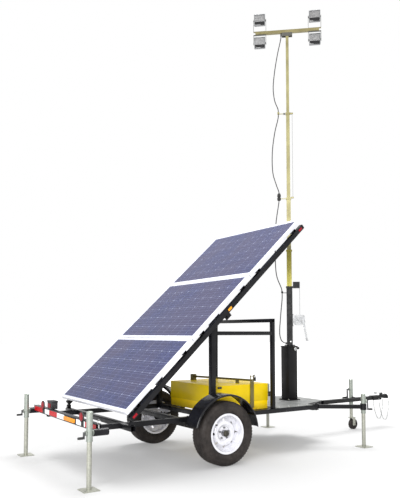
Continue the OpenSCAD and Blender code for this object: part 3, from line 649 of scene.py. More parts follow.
grid = put(
    grid_tree,
    "GeometryNodeMeshGrid",
    {
        "Size X": span(grid_tree, given["Columns"], given["Pitch X"]),
        "Size Y": span(grid_tree, given["Rows"], given["Pitch Y"]),
        "Vertices X": given["Columns"],
        "Vertices Y": given["Rows"],
    },
)
end_tree(grid_tree, given, grid.outputs["Mesh"])
print(grid_tree.name, len(grid_tree.nodes), "nodes")

# %% [markdown]
# The ring sets copies about Z. Each is turned by its own number, so that it faces outwards.

# %% A ring of copies
ring_tree, given = new_tree("ring_of_copies", {"Count": "Int", "Radius": "Float"})
ring = put(ring_tree, "GeometryNodeMeshCircle", {"Vertices": given["Count"], "Radius": given["Radius"]})
index = put(ring_tree, "GeometryNodeInputIndex").outputs[0]
angle = maths(ring_tree, "MULTIPLY", index, maths(ring_tree, "DIVIDE", 2 * math.pi, given["Count"]))
turned = put(ring_tree, "ShaderNodeCombineXYZ", {"Z": angle}).outputs[0]
end_tree(ring_tree, given, ring.outputs[0], Rotation=turned)
print(ring_tree.name, len(ring_tree.nodes), "nodes")

# %% [markdown]
# Links follow a curve at one pitch, and every second one is rolled a quarter turn about
# the curve, as in any chain.

# %% Links along a curve
chain_tree, given = new_tree("links_on_a_curve", {"Pitch": "Float"})
curve = put(chain_tree, "GeometryNodeMeshToCurve", {"Mesh": given["Geometry"]}).outputs[0]
points = put(chain_tree, "GeometryNodeCurveToPoints", {"Curve": curve, "Length": given["Pitch"]}, mode="LENGTH")
index = put(chain_tree, "GeometryNodeInputIndex").outputs[0]
roll = maths(chain_tree, "MULTIPLY", maths(chain_tree, "MODULO", index, 2.0), math.pi / 2)
quarter = put(chain_tree, "ShaderNodeCombineXYZ", {"Z": roll}).outputs[0]
rolled = put(
    chain_tree, "FunctionNodeRotateRotation", {0: points.outputs["Rotation"], 1: quarter}, rotation_space="LOCAL"
)
end_tree(chain_tree, given, points.outputs["Points"], Rotation=rolled.outputs[0])
print(chain_tree.name, len(chain_tree.nodes), "nodes")

# %% [markdown]
# ## Solar cells
# Each panel holds ten by six square cells with clipped corners, soldered in strings. The
# grid tree lays sixty of one clipped square on the back sheet, and three tin ribbons run
# over each row. The squares are real geometry, so the white gaps between them are too.

# %% Cells and ribbons on three panels
CELL_ACROSS, CELL_ALONG, CLIP = 155.2, 151.0, 7.0
PITCH_ACROSS, PITCH_ALONG = 157.8, 153.6
PANEL_LOW, PANEL_STEP, PANEL_W = -1502, 1002, 992
GLASS_Z = 148  # top of the laminate over the pivot's plane
CELL_THICK, RIBBON_HALF, RIBBON_TOP = 0.4, 0.8, 0.7

half_x, half_y = CELL_ALONG / 2, CELL_ACROSS / 2
clipped = [
    (half_x, half_y - CLIP), (half_x - CLIP, half_y), (CLIP - half_x, half_y), (-half_x, half_y - CLIP),
    (-half_x, CLIP - half_y), (CLIP - half_x, -half_y), (half_x - CLIP, -half_y), (half_x, CLIP - half_y),
]
bm = bmesh.new()
prism(bm, clipped, CELL_THICK, HERE)
cell = pattern("cell_pattern", bm)
bm = bmesh.new()
RIBBON_LONG = PITCH_ACROSS * 5 - 2
slab(bm, (-RIBBON_HALF, -RIBBON_LONG, CELL_THICK), (RIBBON_HALF, RIBBON_LONG, RIBBON_TOP), HERE)
ribbon = pattern("ribbon_pattern", bm)


def join(parts):
    """Several meshes as one."""
    bm = bmesh.new()
    for part in parts:
        bm.from_mesh(part)
    mesh = bpy.data.meshes.new("joined")
    bm.to_mesh(mesh)
    bm.free()
    return mesh


cells, ribbons = [], []
for panel in range(3):
    middle = PANEL_LOW + panel * PANEL_STEP + PANEL_W / 2
    place = ON_ARRAY @ spot(middle, 0, GLASS_Z)
    cells.append(grown(
        grid_tree, place, Shape=cell, Finish=silicon_blue, Columns=6, Rows=10,
        Pitch_X=PITCH_ALONG / 1000, Pitch_Y=PITCH_ACROSS / 1000,
    ))
    for line in (-1, 0, 1):
        ribbons.append(grown(
            grid_tree, place @ spot(line * CELL_ALONG / 3.2, 0, 0), Shape=ribbon, Finish=tin_ribbon, Columns=6,
            Rows=1, Pitch_X=PITCH_ALONG / 1000, Pitch_Y=1.0,
        ))
settle("solar_cells", join(cells), silicon_blue, "array")
settle("cell_ribbons", join(ribbons), tin_ribbon, "array")

# %% [markdown]
# ## Tyres
# A trailer tyre has a ribbed tread: a few straight grooves run round it, with short lugs
# at the shoulders, and fine rings on its sidewalls. The tyre is a turned shape, so a lathe
# outline gives grooves and rings, and the ring tree adds the lugs. It stays within the CAD
# tyre's outline.

# %% Ribbed tyres with shoulder lugs
WHEEL_R, WHEEL_Y = 332.0, 745.0
LUGS, LUG_RING = 64, 0.3215  # lugs on each shoulder, and their ring's radius in metres


def tyre_outline():
    """Radius and height pairs from one bead, over the tread, to the other bead."""
    half = [
        (191.5, 64), (191.5, 76), (212, 76.5), (216, 84), (224, 93.5), (228, 94.5), (231, 96.6), (246, 100.4),
        (250, 100.6), (252, 102.2), (266, 102.4), (269, 101.2), (290, 98.8), (293, 99.6), (296, 97.6), (306, 94.5),
        (318, 85), (326, 75.5), (328.5, 72),
    ]
    tread = []
    for low, high in ((45, 36), (15, 7)):
        tread += [(331, low + 0.6), (324, low - 1.2), (324, high + 1.2), (331.6, high - 0.6)]
    outer = half + [(330, 64)] + tread
    other = [(r, -h) for r, h in reversed(outer)]
    inside = [(222, -74), (262, -90), (306, -76), (317, -40), (317, 40), (306, 76), (262, 90), (222, 74)]
    return outer + other + inside + [outer[0]]


bm = bmesh.new()
slab(bm, (-5, -6, -9), (4.6, 6, 9), HERE, soften=1.2, steps=1)
lug = pattern("lug_pattern", bm)
for side, turn in (("left", 1), ("right", -1)):
    wheel = ON_TRAILER @ spot(0, turn * WHEEL_Y, WHEEL_R) @ FACING["y"]
    bm = bmesh.new()
    lathe(bm, tyre_outline(), wheel, steps=96)
    bmesh.ops.remove_doubles(bm, verts=bm.verts, dist=1e-6)
    parts = [mesh_of(bm, 28)]
    for height in (-74, 74):
        lugs = spot(0, 0, height)
        parts.append(grown(ring_tree, wheel @ lugs, Shape=lug, Finish=tyre_rubber, Count=LUGS, Radius=LUG_RING))
    settle(f"{side}_ribbed_tyre", join(parts), tyre_rubber, f"{side}_wheel", [f"{side}_tyre"])

# %% [markdown]
# Each hub ends in a pressed grease cap, and each rim has a rubber valve. Both are turned
# shapes. Their steel is black, because the bearing grease has blackened it.

# %% Grease caps and valves
for side, turn in (("left", 1), ("right", -1)):
    wheel = ON_TRAILER @ spot(0, turn * WHEEL_Y, WHEEL_R) @ FACING["y" if turn > 0 else "-y"]
    bm = bmesh.new()
    cap = [(0, 52.4), (34, 52.4), (34.5, 54), (31, 56), (30, 64), (27, 70), (18, 74), (8, 75.5), (0, 75.6)]
    lathe(bm, cap, wheel, steps=40)
    stem = wheel @ spot(158, 0, 0)
    lathe(bm, [(0, 2), (6, 2), (6, 9), (4, 12), (4, 34), (3, 36), (0, 36)], stem, steps=14)
    settle(f"{side}_grease_cap", mesh_of(bm), dark_zinc, f"{side}_wheel")
print("caps fitted")

# %% [markdown]
# ## Fenders
# A fender is one sheet bent over the wheel, with a skirt on its outer edge and a rolled
# bead so that the edge can't cut. Sweeping its cross-section about the wheel's centre and
# thickening it gives the sheet, and a thin bar along the edge gives the bead.

# %% Rolled-edge fenders with their stays
FENDER_FROM, FENDER_TO, FENDER_STEPS = 6.0, 166.0, 40  # the arc over the wheel, in degrees
SHEET, OUTER_BEAD, INNER_BEAD, STAY = 0.0022, 0.0032, 0.0030, 0.009  # thickness and radii in metres
section = [
    (642, 405.6), (700, 405.8), (760, 405.8), (826, 405.4), (834, 404), (840, 400.4), (843.2, 394), (843.6, 388),
]


def around_wheel(y, radius, degrees):
    """A point at an angle about the wheel, from straight ahead and over the top."""
    a = math.radians(degrees)
    return ON_TRAILER @ mm(radius * math.cos(a), y, WHEEL_R + radius * math.sin(a))


angles = [FENDER_FROM + (FENDER_TO - FENDER_FROM) * k / FENDER_STEPS for k in range(FENDER_STEPS + 1)]
for side, turn in (("left", 1), ("right", -1)):
    bm = bmesh.new()
    rows = [[bm.verts.new(around_wheel(turn * y, r, a)) for y, r in section] for a in angles]
    for a, b in zip(rows, rows[1:]):
        for k in range(len(section) - 1):
            bm.faces.new((a[k], a[k + 1], b[k + 1], b[k]))
    bmesh.ops.recalc_face_normals(bm, faces=bm.faces)
    top = max(bm.faces, key=lambda f: f.calc_center_median().z)
    if top.normal.z < 0:
        bmesh.ops.reverse_faces(bm, faces=bm.faces)
    bmesh.ops.solidify(bm, geom=bm.faces, thickness=SHEET)
    hose(bm, [around_wheel(turn * 841.6, 388, a) for a in angles], OUTER_BEAD, sides=8)
    hose(bm, [around_wheel(turn * 643.6, 403.4, a) for a in angles], INNER_BEAD, sides=8)
    for a in (25, 153):  # stays from the frame, each with a foot under the sheet
        near, far = around_wheel(turn * 600.8, 393, a), around_wheel(turn * 838, 393, a)
        hose(bm, [near, far], STAY, sides=14)
        for y in (690, 800):
            foot = ON_TRAILER @ spot(0, turn * y, WHEEL_R) @ Matrix.Rotation(math.radians(-a), 4, "Y")
            slab(bm, (396, -16, -14), (403.2, 16, 14), foot, soften=1.5)
            lathe(bm, [(0, 0), (9, 0), (9, 2), (6, 3.4), (0, 3.6)], foot @ spot(403, 0, 0) @ FACING["x"], steps=12)
    settle(f"{side}_fender", mesh_of(bm, 40), fender_black, "chassis", ["fenders"])

# %% [markdown]
# ## Flood lamps
# Each lamp is a cast housing in a yoke. Its open front frames rows of light emitting
# diodes on a tray, with a dark driver cover below, and its back is ribbed to shed heat.
# The grid tree sets the diodes and the fins. All four lamps are the same, so one loop
# builds them, each at its own place and leaning ten degrees down.

# %% Lamp housings, diode trays and fins
LAMP_W, LAMP_H, LAMP_D = 150.0, 146.0, 84.0
LAMP_LEAN = 10  # degrees
TRAY_LOW, TRAY_HIGH = -22.0, 64.0  # the diode tray's edges over the lamp's middle
LAMPS = {
    "upper_left_lamp": (-364, 5584), "upper_right_lamp": (364, 5584),
    "lower_left_lamp": (-364, 5268), "lower_right_lamp": (364, 5268),
}
bm = bmesh.new()
slab(bm, (-1.4, -15, -62), (1.4, 15, 62), HERE, soften=0.8, steps=1)
fin = pattern("fin_pattern", bm)
bm = bmesh.new()
lathe(bm, [(6.6, 0), (6.6, 1.2), (4.6, 2), (4, 3.6), (2.6, 4.8), (0, 5.2)], FACING["-y"], steps=10)
diode = pattern("diode_pattern", bm)
UPRIGHT = Matrix.Rotation(math.radians(90), 4, "X")  # lays the grid tree's plane upright

for name, (x, z) in LAMPS.items():
    lamp = ON_MAST @ spot(x, 0, z) @ Matrix.Rotation(math.radians(LAMP_LEAN), 4, "X")
    front, back, w, h = -LAMP_D / 2, LAMP_D / 2 - 34, LAMP_W / 2, LAMP_H / 2
    bm = bmesh.new()
    slab(bm, (-w + 2, front + 16, -h + 2), (w - 2, back, h - 2), lamp, soften=6)
    for low, high in (
        ((-w, front, -h), (-w + 9, front + 17, h)), ((w - 9, front, -h), (w, front + 17, h)),
        ((-w + 9, front, TRAY_HIGH), (w - 9, front + 17, h)), ((-w + 9, front, -h), (w - 9, front + 17, -h + 5)),
    ):
        slab(bm, low, high, lamp, soften=2)
    for side in (-1, 1):  # trunnion bosses and their lock knobs inside the yoke
        boss = lamp @ spot(side * (w - 1), 0, 0) @ FACING["x" if side > 0 else "-x"]
        lathe(bm, [(0, 0), (15, 0), (15, 3), (11, 5.4), (0, 5.4)], boss, steps=20)
        lathe(bm, [(0, 0), (5.9, 0), (5.9, 12.4), (0, 12.4)], boss, steps=16)
    slab(bm, (-20, back - 1, -24), (20, LAMP_D / 2 - 6, 24), lamp, soften=4)
    fins = grown(grid_tree, lamp @ spot(0, back + 14, 0), Shape=fin, Finish=lamp_casting, Columns=11, Rows=1,
                 Pitch_X=0.0132, Pitch_Y=1.0)
    settle(f"{name}_housing", join([mesh_of(bm), fins]), lamp_casting, f"{name}_head", [name])
    bm = bmesh.new()
    tray_corner = (w - 9.2, front + 15.8, TRAY_HIGH - 0.2)
    slab(bm, (-w + 9.2, front + 11, TRAY_LOW), tray_corner, lamp, soften=0.6, steps=1)
    settle(f"{name}_tray", mesh_of(bm), led_tray, f"{name}_head")
    seat = lamp @ spot(0, front + 11, (TRAY_LOW + TRAY_HIGH) / 2) @ UPRIGHT
    diodes = grown(grid_tree, seat, Shape=diode, Finish=led_white, Columns=8, Rows=5,
                   Pitch_X=0.0160, Pitch_Y=0.0162)
    settle(f"{name}_diodes", diodes, led_white, f"{name}_head")
    bm = bmesh.new()
    slab(bm, (-w + 9.2, front + 2.6, -h + 5.2), (w - 9.2, front + 15.8, TRAY_LOW - 0.4), lamp, soften=2)
    slab(bm, (-w + 26, front + 1.2, -h + 14), (w - 26, front + 2.8, TRAY_LOW - 10), lamp, soften=0.7, steps=1)
    settle(f"{name}_driver_cover", mesh_of(bm), gloss_black, f"{name}_head")
print("lamps built:", len(LAMPS))

# %% [markdown]
# ## Winch
# A hand winch raises the mast. It has two rounded cheeks on a back plate, a drum with
# flanges between them, and bolts that hold it all together.

# %% Winch body
CRANK_Z, DRUM_X, PLATE_X = 1537.0, 110.0, 38.5


def rounded(low, high, radius, steps=5):
    """The outline of a rectangle with rounded corners."""
    corners = [
        (high[0] - radius, high[1] - radius, 0), (low[0] + radius, high[1] - radius, 90),
        (low[0] + radius, low[1] + radius, 180), (high[0] - radius, low[1] + radius, 270),
    ]
    outline = []
    for cx, cy, start in corners:
        for k in range(steps + 1):
            a = math.radians(start + 90 * k / steps)
            outline.append((cx + radius * math.cos(a), cy + radius * math.sin(a)))
    return outline


bm = bmesh.new()
slab(bm, (PLATE_X, -42, 1455), (PLATE_X + 6, 42, 1615), ON_MAST, soften=2)
for side in (-1, 1):  # cheeks: the outline lies in the mast's X and Z
    cheek = ON_MAST @ spot(0, side * 38 + 3, 0) @ FACING["-y"]
    prism(bm, rounded((PLATE_X + 6.2, 1471), (199, 1604), 52, 9), 5, cheek)
drum = ON_MAST @ spot(DRUM_X, 0, CRANK_Z) @ FACING["y"]
for y in (-34.4, 29.4):
    lathe(bm, [(0, y), (43, y), (44, y + 1), (44, y + 4), (43, y + 5), (0, y + 5)], drum, steps=36)
lathe(bm, [(0, -30), (24, -30), (24, 30), (0, 30)], drum, steps=32)
for x, z in ((DRUM_X, CRANK_Z), (171, CRANK_Z), (70, 1590), (180, 1590), (70, 1486), (180, 1486)):
    for side, facing in ((-1, "-y"), (1, "y")):
        nut = ON_MAST @ spot(x, side * 40.9, z) @ FACING[facing]
        if (x, side) != (171, -1):
            lathe(bm, [(0, 0), (9, 0), (9, 5), (7.5, 6), (0, 6)], nut, steps=6)
            lathe(bm, [(0, 6), (4.4, 6), (4.4, 9), (0, 9.4)], nut, steps=12)
for z in (1466, 1604):
    for y in (-30, 30):
        bolt = ON_MAST @ spot(PLATE_X + 6, y, z) @ FACING["x"]
        lathe(bm, [(0, 0), (8, 0), (8, 5), (0, 5.4)], bolt, steps=6)
settle("winch_body", mesh_of(bm), winch_grey, "mast_base", ["winch"])

# %% [markdown]
# Wire rope lies on the drum in two layers. Its turns are stacked rings, one rope's width
# apart, and the upper layer lies in the valleys of the lower one.

# %% Rope wound on the drum
ROPE_R, TURNS = 2.5, 11
LAYER_UP = 4.4  # how much further out the second layer lies
bm = bmesh.new()
for turn in range(TURNS):
    for layer in (0, 1):
        radius = 24 + ROPE_R + layer * LAYER_UP
        y = -27 + (turn + 0.5 * layer) * ROPE_R * 2
        ring = [drum @ mm(radius * math.cos(a), radius * math.sin(a), y) for a in around(40)]
        hose(bm, ring, ROPE_R / 1000, sides=6, closed=True)
settle("winch_winding", mesh_of(bm), wire_rope_steel, "mast_base")
print("turns on the drum:", 2 * TURNS)

# %% [markdown]
# The lifting rope is held taut between the drum and the pulley on top of the first tube,
# so it is a straight cord that goes back into the object at both ends.

# %% The taut lifting rope


def taut_rope(name, reach, low, high, body):
    """A straight rope beside the mast, between two heights in millimetres."""
    line = [ON_MAST @ mm(reach, 0, low + (high - low) * k / 16) for k in range(17)]
    bm = bmesh.new()
    hose(bm, line, ROPE_R / 1000, sides=8)
    rope = settle(name, mesh_of(bm), wire_rope_steel, body)
    print(name, high - low, "mm")
    return rope


taut_rope("lifting_rope", 131.5, 1567.0, 1994.0, "mast_base")

# %% [markdown]
# ## The lamp cable
# A 12 mm rubber cable feeds the lamps. It is clipped to the mast in three places and
# hangs in slack bows between the clips, so that it can drop in folds as the mast comes
# down. The two upper runs ride on the tubes that they hang from, each with a mesh of its own.

# %% Three runs of cable
CORD_D = 12.0
HEAD_RUN = [(-80, 5340), (-92, 5270), (-130, 5100), (-170, 4860), (-190, 4640), (-172, 4470), (-132, 4360),
            (-124, 4310), (-124, 4270), (-132, 4205), (-176, 4020), (-208, 3760), (-204, 3500), (-160, 3330),
            (-126, 3230), (-124, 3160)]
MID_RUN = [(-124, 3148), (-128, 3080), (-164, 2840), (-180, 2600), (-180, 2340), (-164, 2120), (-106, 1960),
           (-94, 1902)]
LOW_RUN = [(-94, 1898), (-96, 1800), (-110, 1660), (-122, 1520), (-130, 1410), (-126, 1325), (-101, 1262),
           (-58, 1236)]


def cable_run(name, run, body, stands_for):
    """One run of the lamp cable, from its upper end down."""
    line = [ON_MAST @ p for p in smooth_line([mm(x, 0, z) for x, z in run])]
    bm = bmesh.new()
    hose(bm, line, CORD_D / 2000, sides=12)
    piece = settle(name, mesh_of(bm, 60), cable_jacket, body, [stands_for])
    return piece


head_run = cable_run("cable_upper_run", HEAD_RUN, "mast_4", "cable_head_run")
mid_run = cable_run("cable_middle_run", MID_RUN, "mast_2", "cable_mid_run")
cable_run("cable_lower_run", LOW_RUN, "mast_base", "cable_low_run")
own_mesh(head_run)
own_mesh(mid_run)

# %% [markdown]
# ## Mast fittings
# A rope between the second and third tubes hoists the upper ones: it's taut, and it gets
# shorter as the mast comes down. A small pulley guides it at each tube.

# %% Hoist rope and its pulleys
HOIST_LOW, HOIST_HIGH = 3158.0, 4276.0
hoist = taut_rope("hoist_rope", 57, HOIST_LOW, HOIST_HIGH, "mast_3")
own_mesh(hoist)
for name, body, start, height in (("hoist_top", "mast_3", 30.2, 4282.0), ("hoist_foot", "mast_2", 34.2, 3150.0)):
    bm = bmesh.new()
    for y in (-12, 9):
        slab(bm, (start, y, height - 9), (68, y + 3, height + 8), ON_MAST, soften=1)
    wheel = ON_MAST @ spot(52, 0, height) @ FACING["y"]
    lathe(bm, [(0, -8), (10, -8), (10, -5), (7, -1), (7, 1), (10, 5), (10, 8), (0, 8)], wheel, steps=24)
    lathe(bm, [(0, -14), (4, -14), (4, 14), (0, 14)], wheel, steps=10)
    settle(f"{name}_pulley", mesh_of(bm), mast_gold, body)
print("two pulleys hung")

# %% [markdown]
# A moulded grip guards the cable at its second clip, and a knob locks the third tube. A
# spring plunger with a ball handle locks the mast against turning, with a plated boss
# beside it and a stop pin above. Each is one turned shape.

# %% Cable grip, knob and turn lock


def turned_piece(name, outline, place, steps, finish, body):
    """One turned shape as a piece of its own."""
    bm = bmesh.new()
    lathe(bm, outline, place, steps=steps)
    settle(name, mesh_of(bm), finish, body)


grip = [
    (13.4, 3112), (18, 3114), (23, 3120), (24, 3130), (24, 3150), (20, 3154), (20, 3164), (24, 3168), (24, 3186),
    (21, 3196), (16, 3208), (13.4, 3210), (13.4, 3112),
]
turned_piece("cable_grip", grip, ON_MAST @ spot(-124, 0, 0), 28, grip_rubber, "mast_2")
knob = [(0, 0), (6, 0), (6, 10), (13, 12), (15, 18), (13, 25), (0, 27)]
knob_at = ON_MAST @ spot(-30.2, 0, 4281) @ FACING["-x"]
turned_piece("third_tube_knob", knob, knob_at, 48, moulded_black, "mast_3")

BALL_R, BALL_OUT = 19, 30
half_turn = [math.pi * k / 14 for k in range(1, 14)]
ball = [(BALL_R * math.sin(a), BALL_OUT - BALL_R * math.cos(a)) for a in half_turn]
ball = [(0, BALL_OUT - BALL_R)] + ball + [(0, BALL_OUT + BALL_R)]
ball_at = ON_TRAILER @ spot(1670, -70, 1172) @ FACING["x"]
turned_piece("turn_lock_ball", ball, ball_at, 24, moulded_black, "chassis")
boss = [(0, 0), (21, 0), (22, 1), (22, 7), (20, 9), (12, 9), (11, 13), (0, 14)]
boss_at = ON_TRAILER @ spot(1612, -110.4, 1163) @ FACING["-y"]
turned_piece("turn_lock_boss", boss, boss_at, 30, bright_zinc, "chassis")
pin = [(0, 0), (12, 0), (12, 4), (9, 8), (0, 9)]
pin_at = ON_MAST @ spot(12, -38.4, 1258) @ FACING["-y"]
turned_piece("turn_stop_pin", pin, pin_at, 24, bright_zinc, "mast_base")
print("cable grip, knob, ball, boss and pin turned")

# %% [markdown]
# ## Lock, bolts and caps
# A padlock holds the bar to the hasp, and a draw catch keeps the lid down. The padlock's
# shackle is a bar bent over on an arc of eight points.

# %% Padlock, pin and lid catch
bm = bmesh.new()
slab(bm, (588, -546, 826), (608, -512, 868), soften=3)
bow = [math.radians(a) for a in range(20, 180, 20)]
shackle = [mm(598, -541, 862), mm(598, -541, 880)]
shackle += [mm(598 - 4 * math.sin(a), -529 - 12 * math.cos(a), 884 + 12 * math.sin(a)) for a in bow]
shackle += [mm(598, -517, 880), mm(598, -517, 862)]
hose(bm, [ON_TRAILER @ p for p in shackle], 0.0038, sides=10)
settle("padlock", mesh_of(bm), moulded_black, "chassis")
bm = bmesh.new()
hose(bm, [ON_TRAILER @ mm(x, -531, 882) for x in (532, 560, 602)], 0.0036, sides=10)
settle("lock_pin", mesh_of(bm), lock_olive, "chassis")
bm = bmesh.new()
slab(bm, (88, -532, 762), (140, -523.6, 786), soften=3)
slab(bm, (98, -540, 768), (130, -531, 778), soften=3)
settle("lid_catch", mesh_of(bm), moulded_black, "box_lid")
print("box locked")

# %% [markdown]
# A hex bolt is a washer, a six-sided head and the end of its thread. The grid tree sets
# eight of them on the deck, and four at the corners of the mast's flange.

# %% Hex bolts
bm = bmesh.new()
lathe(bm, [(11, 0), (11, 1.6), (0, 1.6)], HERE, steps=20)
lathe(bm, [(8.4, 1.6), (8.4, 6.4), (7.2, 7.4), (0, 7.4)], HERE, steps=6)
lathe(bm, [(4.2, 7.4), (4.2, 11), (3.4, 11.8), (0, 11.8)], HERE, steps=12)
hex_bolt = pattern("hex_bolt_pattern", bm)
DECK_TOP, FLANGE_TOP = 509.6, 520.1
for name, middle, columns, rows, pitch_x, pitch_y in (
    ("deck_bolts", (1150, 0, DECK_TOP), 4, 2, 0.150, 1.140),
    ("flange_bolts", (1571, -40, FLANGE_TOP), 2, 2, 0.172, 0.162),
):
    bolts = grown(grid_tree, ON_TRAILER @ spot(*middle), Shape=hex_bolt, Finish=bright_zinc, Columns=columns,
                  Rows=rows, Pitch_X=pitch_x, Pitch_Y=pitch_y)
    settle(name, bolts, bright_zinc, "chassis")
    print(name, columns * rows)

# %% [markdown]
# Plastic caps close the ends of the array's rails, and small reflectors mark its right
# side.

# %% Rail caps and reflectors
RAIL_LOW, RAIL_HIGH = -1502, 1502  # the rails' two ends, along the array
bm = bmesh.new()
for y in (-790, 790):
    for x0, x1 in ((RAIL_LOW - 4, RAIL_LOW - 0.4), (RAIL_HIGH + 0.4, RAIL_HIGH + 4)):
        slab(bm, (x0, y - 25, 20.5), (x1, y + 25, 69.5), ON_ARRAY, soften=1.5)
settle("rail_caps", mesh_of(bm), moulded_black, "array")
REFLECTORS = (
    ("low_reflector", -1450, lens_red), ("middle_reflector", 60, lens_amber), ("high_reflector", 1440, lens_red),
)
for name, x, finish in REFLECTORS:
    bm = bmesh.new()
    slab(bm, (x - 28, -819.5, 33), (x + 28, -815.4, 57), ON_ARRAY, soften=1.5)
    settle(name, mesh_of(bm), finish, "array")
print("reflectors:", len(REFLECTORS))

# %% [markdown]
# ## Safety chains
# Two chains hang from the coupler. A link is a bar bent to a racetrack and welded. The
# curve tree sets links along the chain's hang, each rolled a quarter turn from the last,
# at the pitch that makes them just touch.

# %% Chain links along their hang
LINK_BAR, LINK_HALF, LINK_BEND = 2.6, 8.5, 5.4  # bar radius, straight half, bend radius in mm
track = []
for start, middle in ((0, LINK_HALF), (math.pi, -LINK_HALF)):
    for k in range(12):
        a = start + math.pi * k / 11
        track.append(mm(LINK_BEND * math.cos(a), 0, middle + LINK_BEND * math.sin(a)))
bm = bmesh.new()
hose(bm, track, LINK_BAR / 1000, sides=6, closed=True)
link = pattern("link_pattern", bm)
HANG = [(3290, 404), (3300, 330), (3330, 220), (3370, 140), (3410, 110), (3450, 130), (3480, 210), (3496, 300),
        (3500, 376)]
for side, turn in (("left", 1), ("right", -1)):
    line = smooth_line([mm(x, turn * 54, z) for x, z in HANG])
    bm = bmesh.new()
    points = [bm.verts.new(ON_TRAILER @ p) for p in line]
    for a, b in zip(points, points[1:]):
        bm.edges.new((a, b))
    host = bpy.data.objects.new("hang", bpy.data.meshes.new("hang"))
    bm.to_mesh(host.data)
    bm.free()
    links = grown(chain_tree, host=host, Shape=link, Finish=bright_zinc,
                  Pitch=2 * (LINK_HALF + LINK_BEND - LINK_BAR) / 1000)
    settle(f"{side}_safety_chain", links, bright_zinc, "chassis", ["safety_chains"])

# %% [markdown]
# ## The rear end
# Red and white reflective tape warns the traffic behind. It lies on the beam's rear face
# in blocks, half a millimetre thick.

# %% Reflective tape
BEAM_FACE, BEAM_LOW = -1470.5, 490.0
TAPE = {  # name: its finish and its blocks, each from one Y to the other
    "tape_red_blocks": (tape_red, [(846, 560), (370, 140), (-602, -846)]),
    "tape_white_blocks": (tape_white, [(558, 372), (138, -70), (-382, -600)]),
}
for name, (finish, blocks) in TAPE.items():
    bm = bmesh.new()
    for high, low in blocks:
        slab(bm, (BEAM_FACE - 0.5, low, BEAM_LOW + 10), (BEAM_FACE, high, BEAM_LOW + 60))
    settle(name, mesh_of(bm), finish, "chassis")
    print(name, len(blocks))

# %% [markdown]
# Two round tail lamps stand on the beam. A lens is a turned shape with stepped rings,
# inside a dark rubber rim, and a plate holds it up.

# %% Tail lamps


def round_lamp(name, y, z, radius, stand):
    """A red lens with stepped rings in a rubber rim, on a plate that stands on the beam."""
    place = ON_TRAILER @ spot(BEAM_FACE - 5.1, y, z) @ FACING["-x"]
    bm = bmesh.new()
    slab(bm, (BEAM_FACE - 5, y - 30, stand), (BEAM_FACE, y + 30, z + 34), soften=1)
    settle(f"{name}_plate", mesh_of(bm), frame_black, "chassis")
    bm = bmesh.new()
    lip = radius - 7
    rim = [(lip, 0), (radius, 0), (radius, 9), (radius - 2, 12), (radius - 6, 12), (lip, 9), (lip, 0)]
    lathe(bm, rim, place, steps=40)
    settle(f"{name}_rim", mesh_of(bm), grip_rubber, "chassis")
    bm = bmesh.new()
    outline = [(0, 2), (radius - 7.2, 2), (radius - 7.2, 12)]
    for k in range(4):
        step = radius - 8 - k * (radius - 12) / 4
        outline += [(step, 13 + k * 1.2), (step - 2, 14.2 + k * 1.2)]
    outline += [(0, 18.4)]
    lathe(bm, outline, place, steps=40)
    settle(name, mesh_of(bm, 20), lens_red, "chassis", ["rear_lamps"])


for name, y in (("right_tail_lamp", -540), ("left_tail_lamp", 540)):
    round_lamp(name, y, BEAM_LOW + 98, 48, BEAM_LOW + 8)
print("two tail lamps on the beam")

# %% [markdown]
# A long amber lamp lies between the tail lamps, and the wiring meets in a small sealed box
# with a red reflector on it.

# %% Amber lamp and wiring box
long_lamp = ON_TRAILER @ spot(BEAM_FACE - 0.2, -225, BEAM_LOW + 35) @ FACING["-x"]
for name, inset, low, high, finish, stands_for in (
    ("amber_rim", 0, 0, 7, grip_rubber, []), ("amber_lamp", 3, 5, 13.6, lens_amber, ["rear_lamps"]),
):
    bm = bmesh.new()
    outline = rounded((-22 + inset, -150 + inset), (22 - inset, 150 - inset), 22 - inset, 8)
    prism(bm, outline, high - low, long_lamp @ spot(0, 0, low))
    bmesh.ops.bevel(
        bm, geom=list(bm.edges), offset=0.001, segments=2, affect="EDGES", profile=0.5, clamp_overlap=True
    )
    settle(name, mesh_of(bm), finish, "chassis", stands_for)
bm = bmesh.new()
slab(bm, (-1466, 322, 562), (-1394, 448, 640), soften=6)
slab(bm, (-1469, 320, 632), (-1391, 450, 649), soften=4)
for x, y in ((-1460, 328), (-1400, 328), (-1460, 442), (-1400, 442)):
    lathe(bm, [(0, 0), (4, 0), (4, 2.4), (0, 3)], ON_TRAILER @ spot(x, y, 648.5), steps=10)
settle("wiring_box", mesh_of(bm), moulded_black, "chassis")
bm = bmesh.new()
slab(bm, (-1471.8, 345, 575), (-1466, 425, 622), soften=1.5)
settle("wiring_box_reflector", mesh_of(bm), lens_red, "chassis")
print("rear end dressed")

# %% [markdown]
# ## Jack fittings
# A jack is a tube with a gear head and a crank. What makes it read as a jack are its
# fittings: a domed cap, a ring where the tube ends, and weld beads round the head and the
# bracket. One loop dresses each jack in its own place.

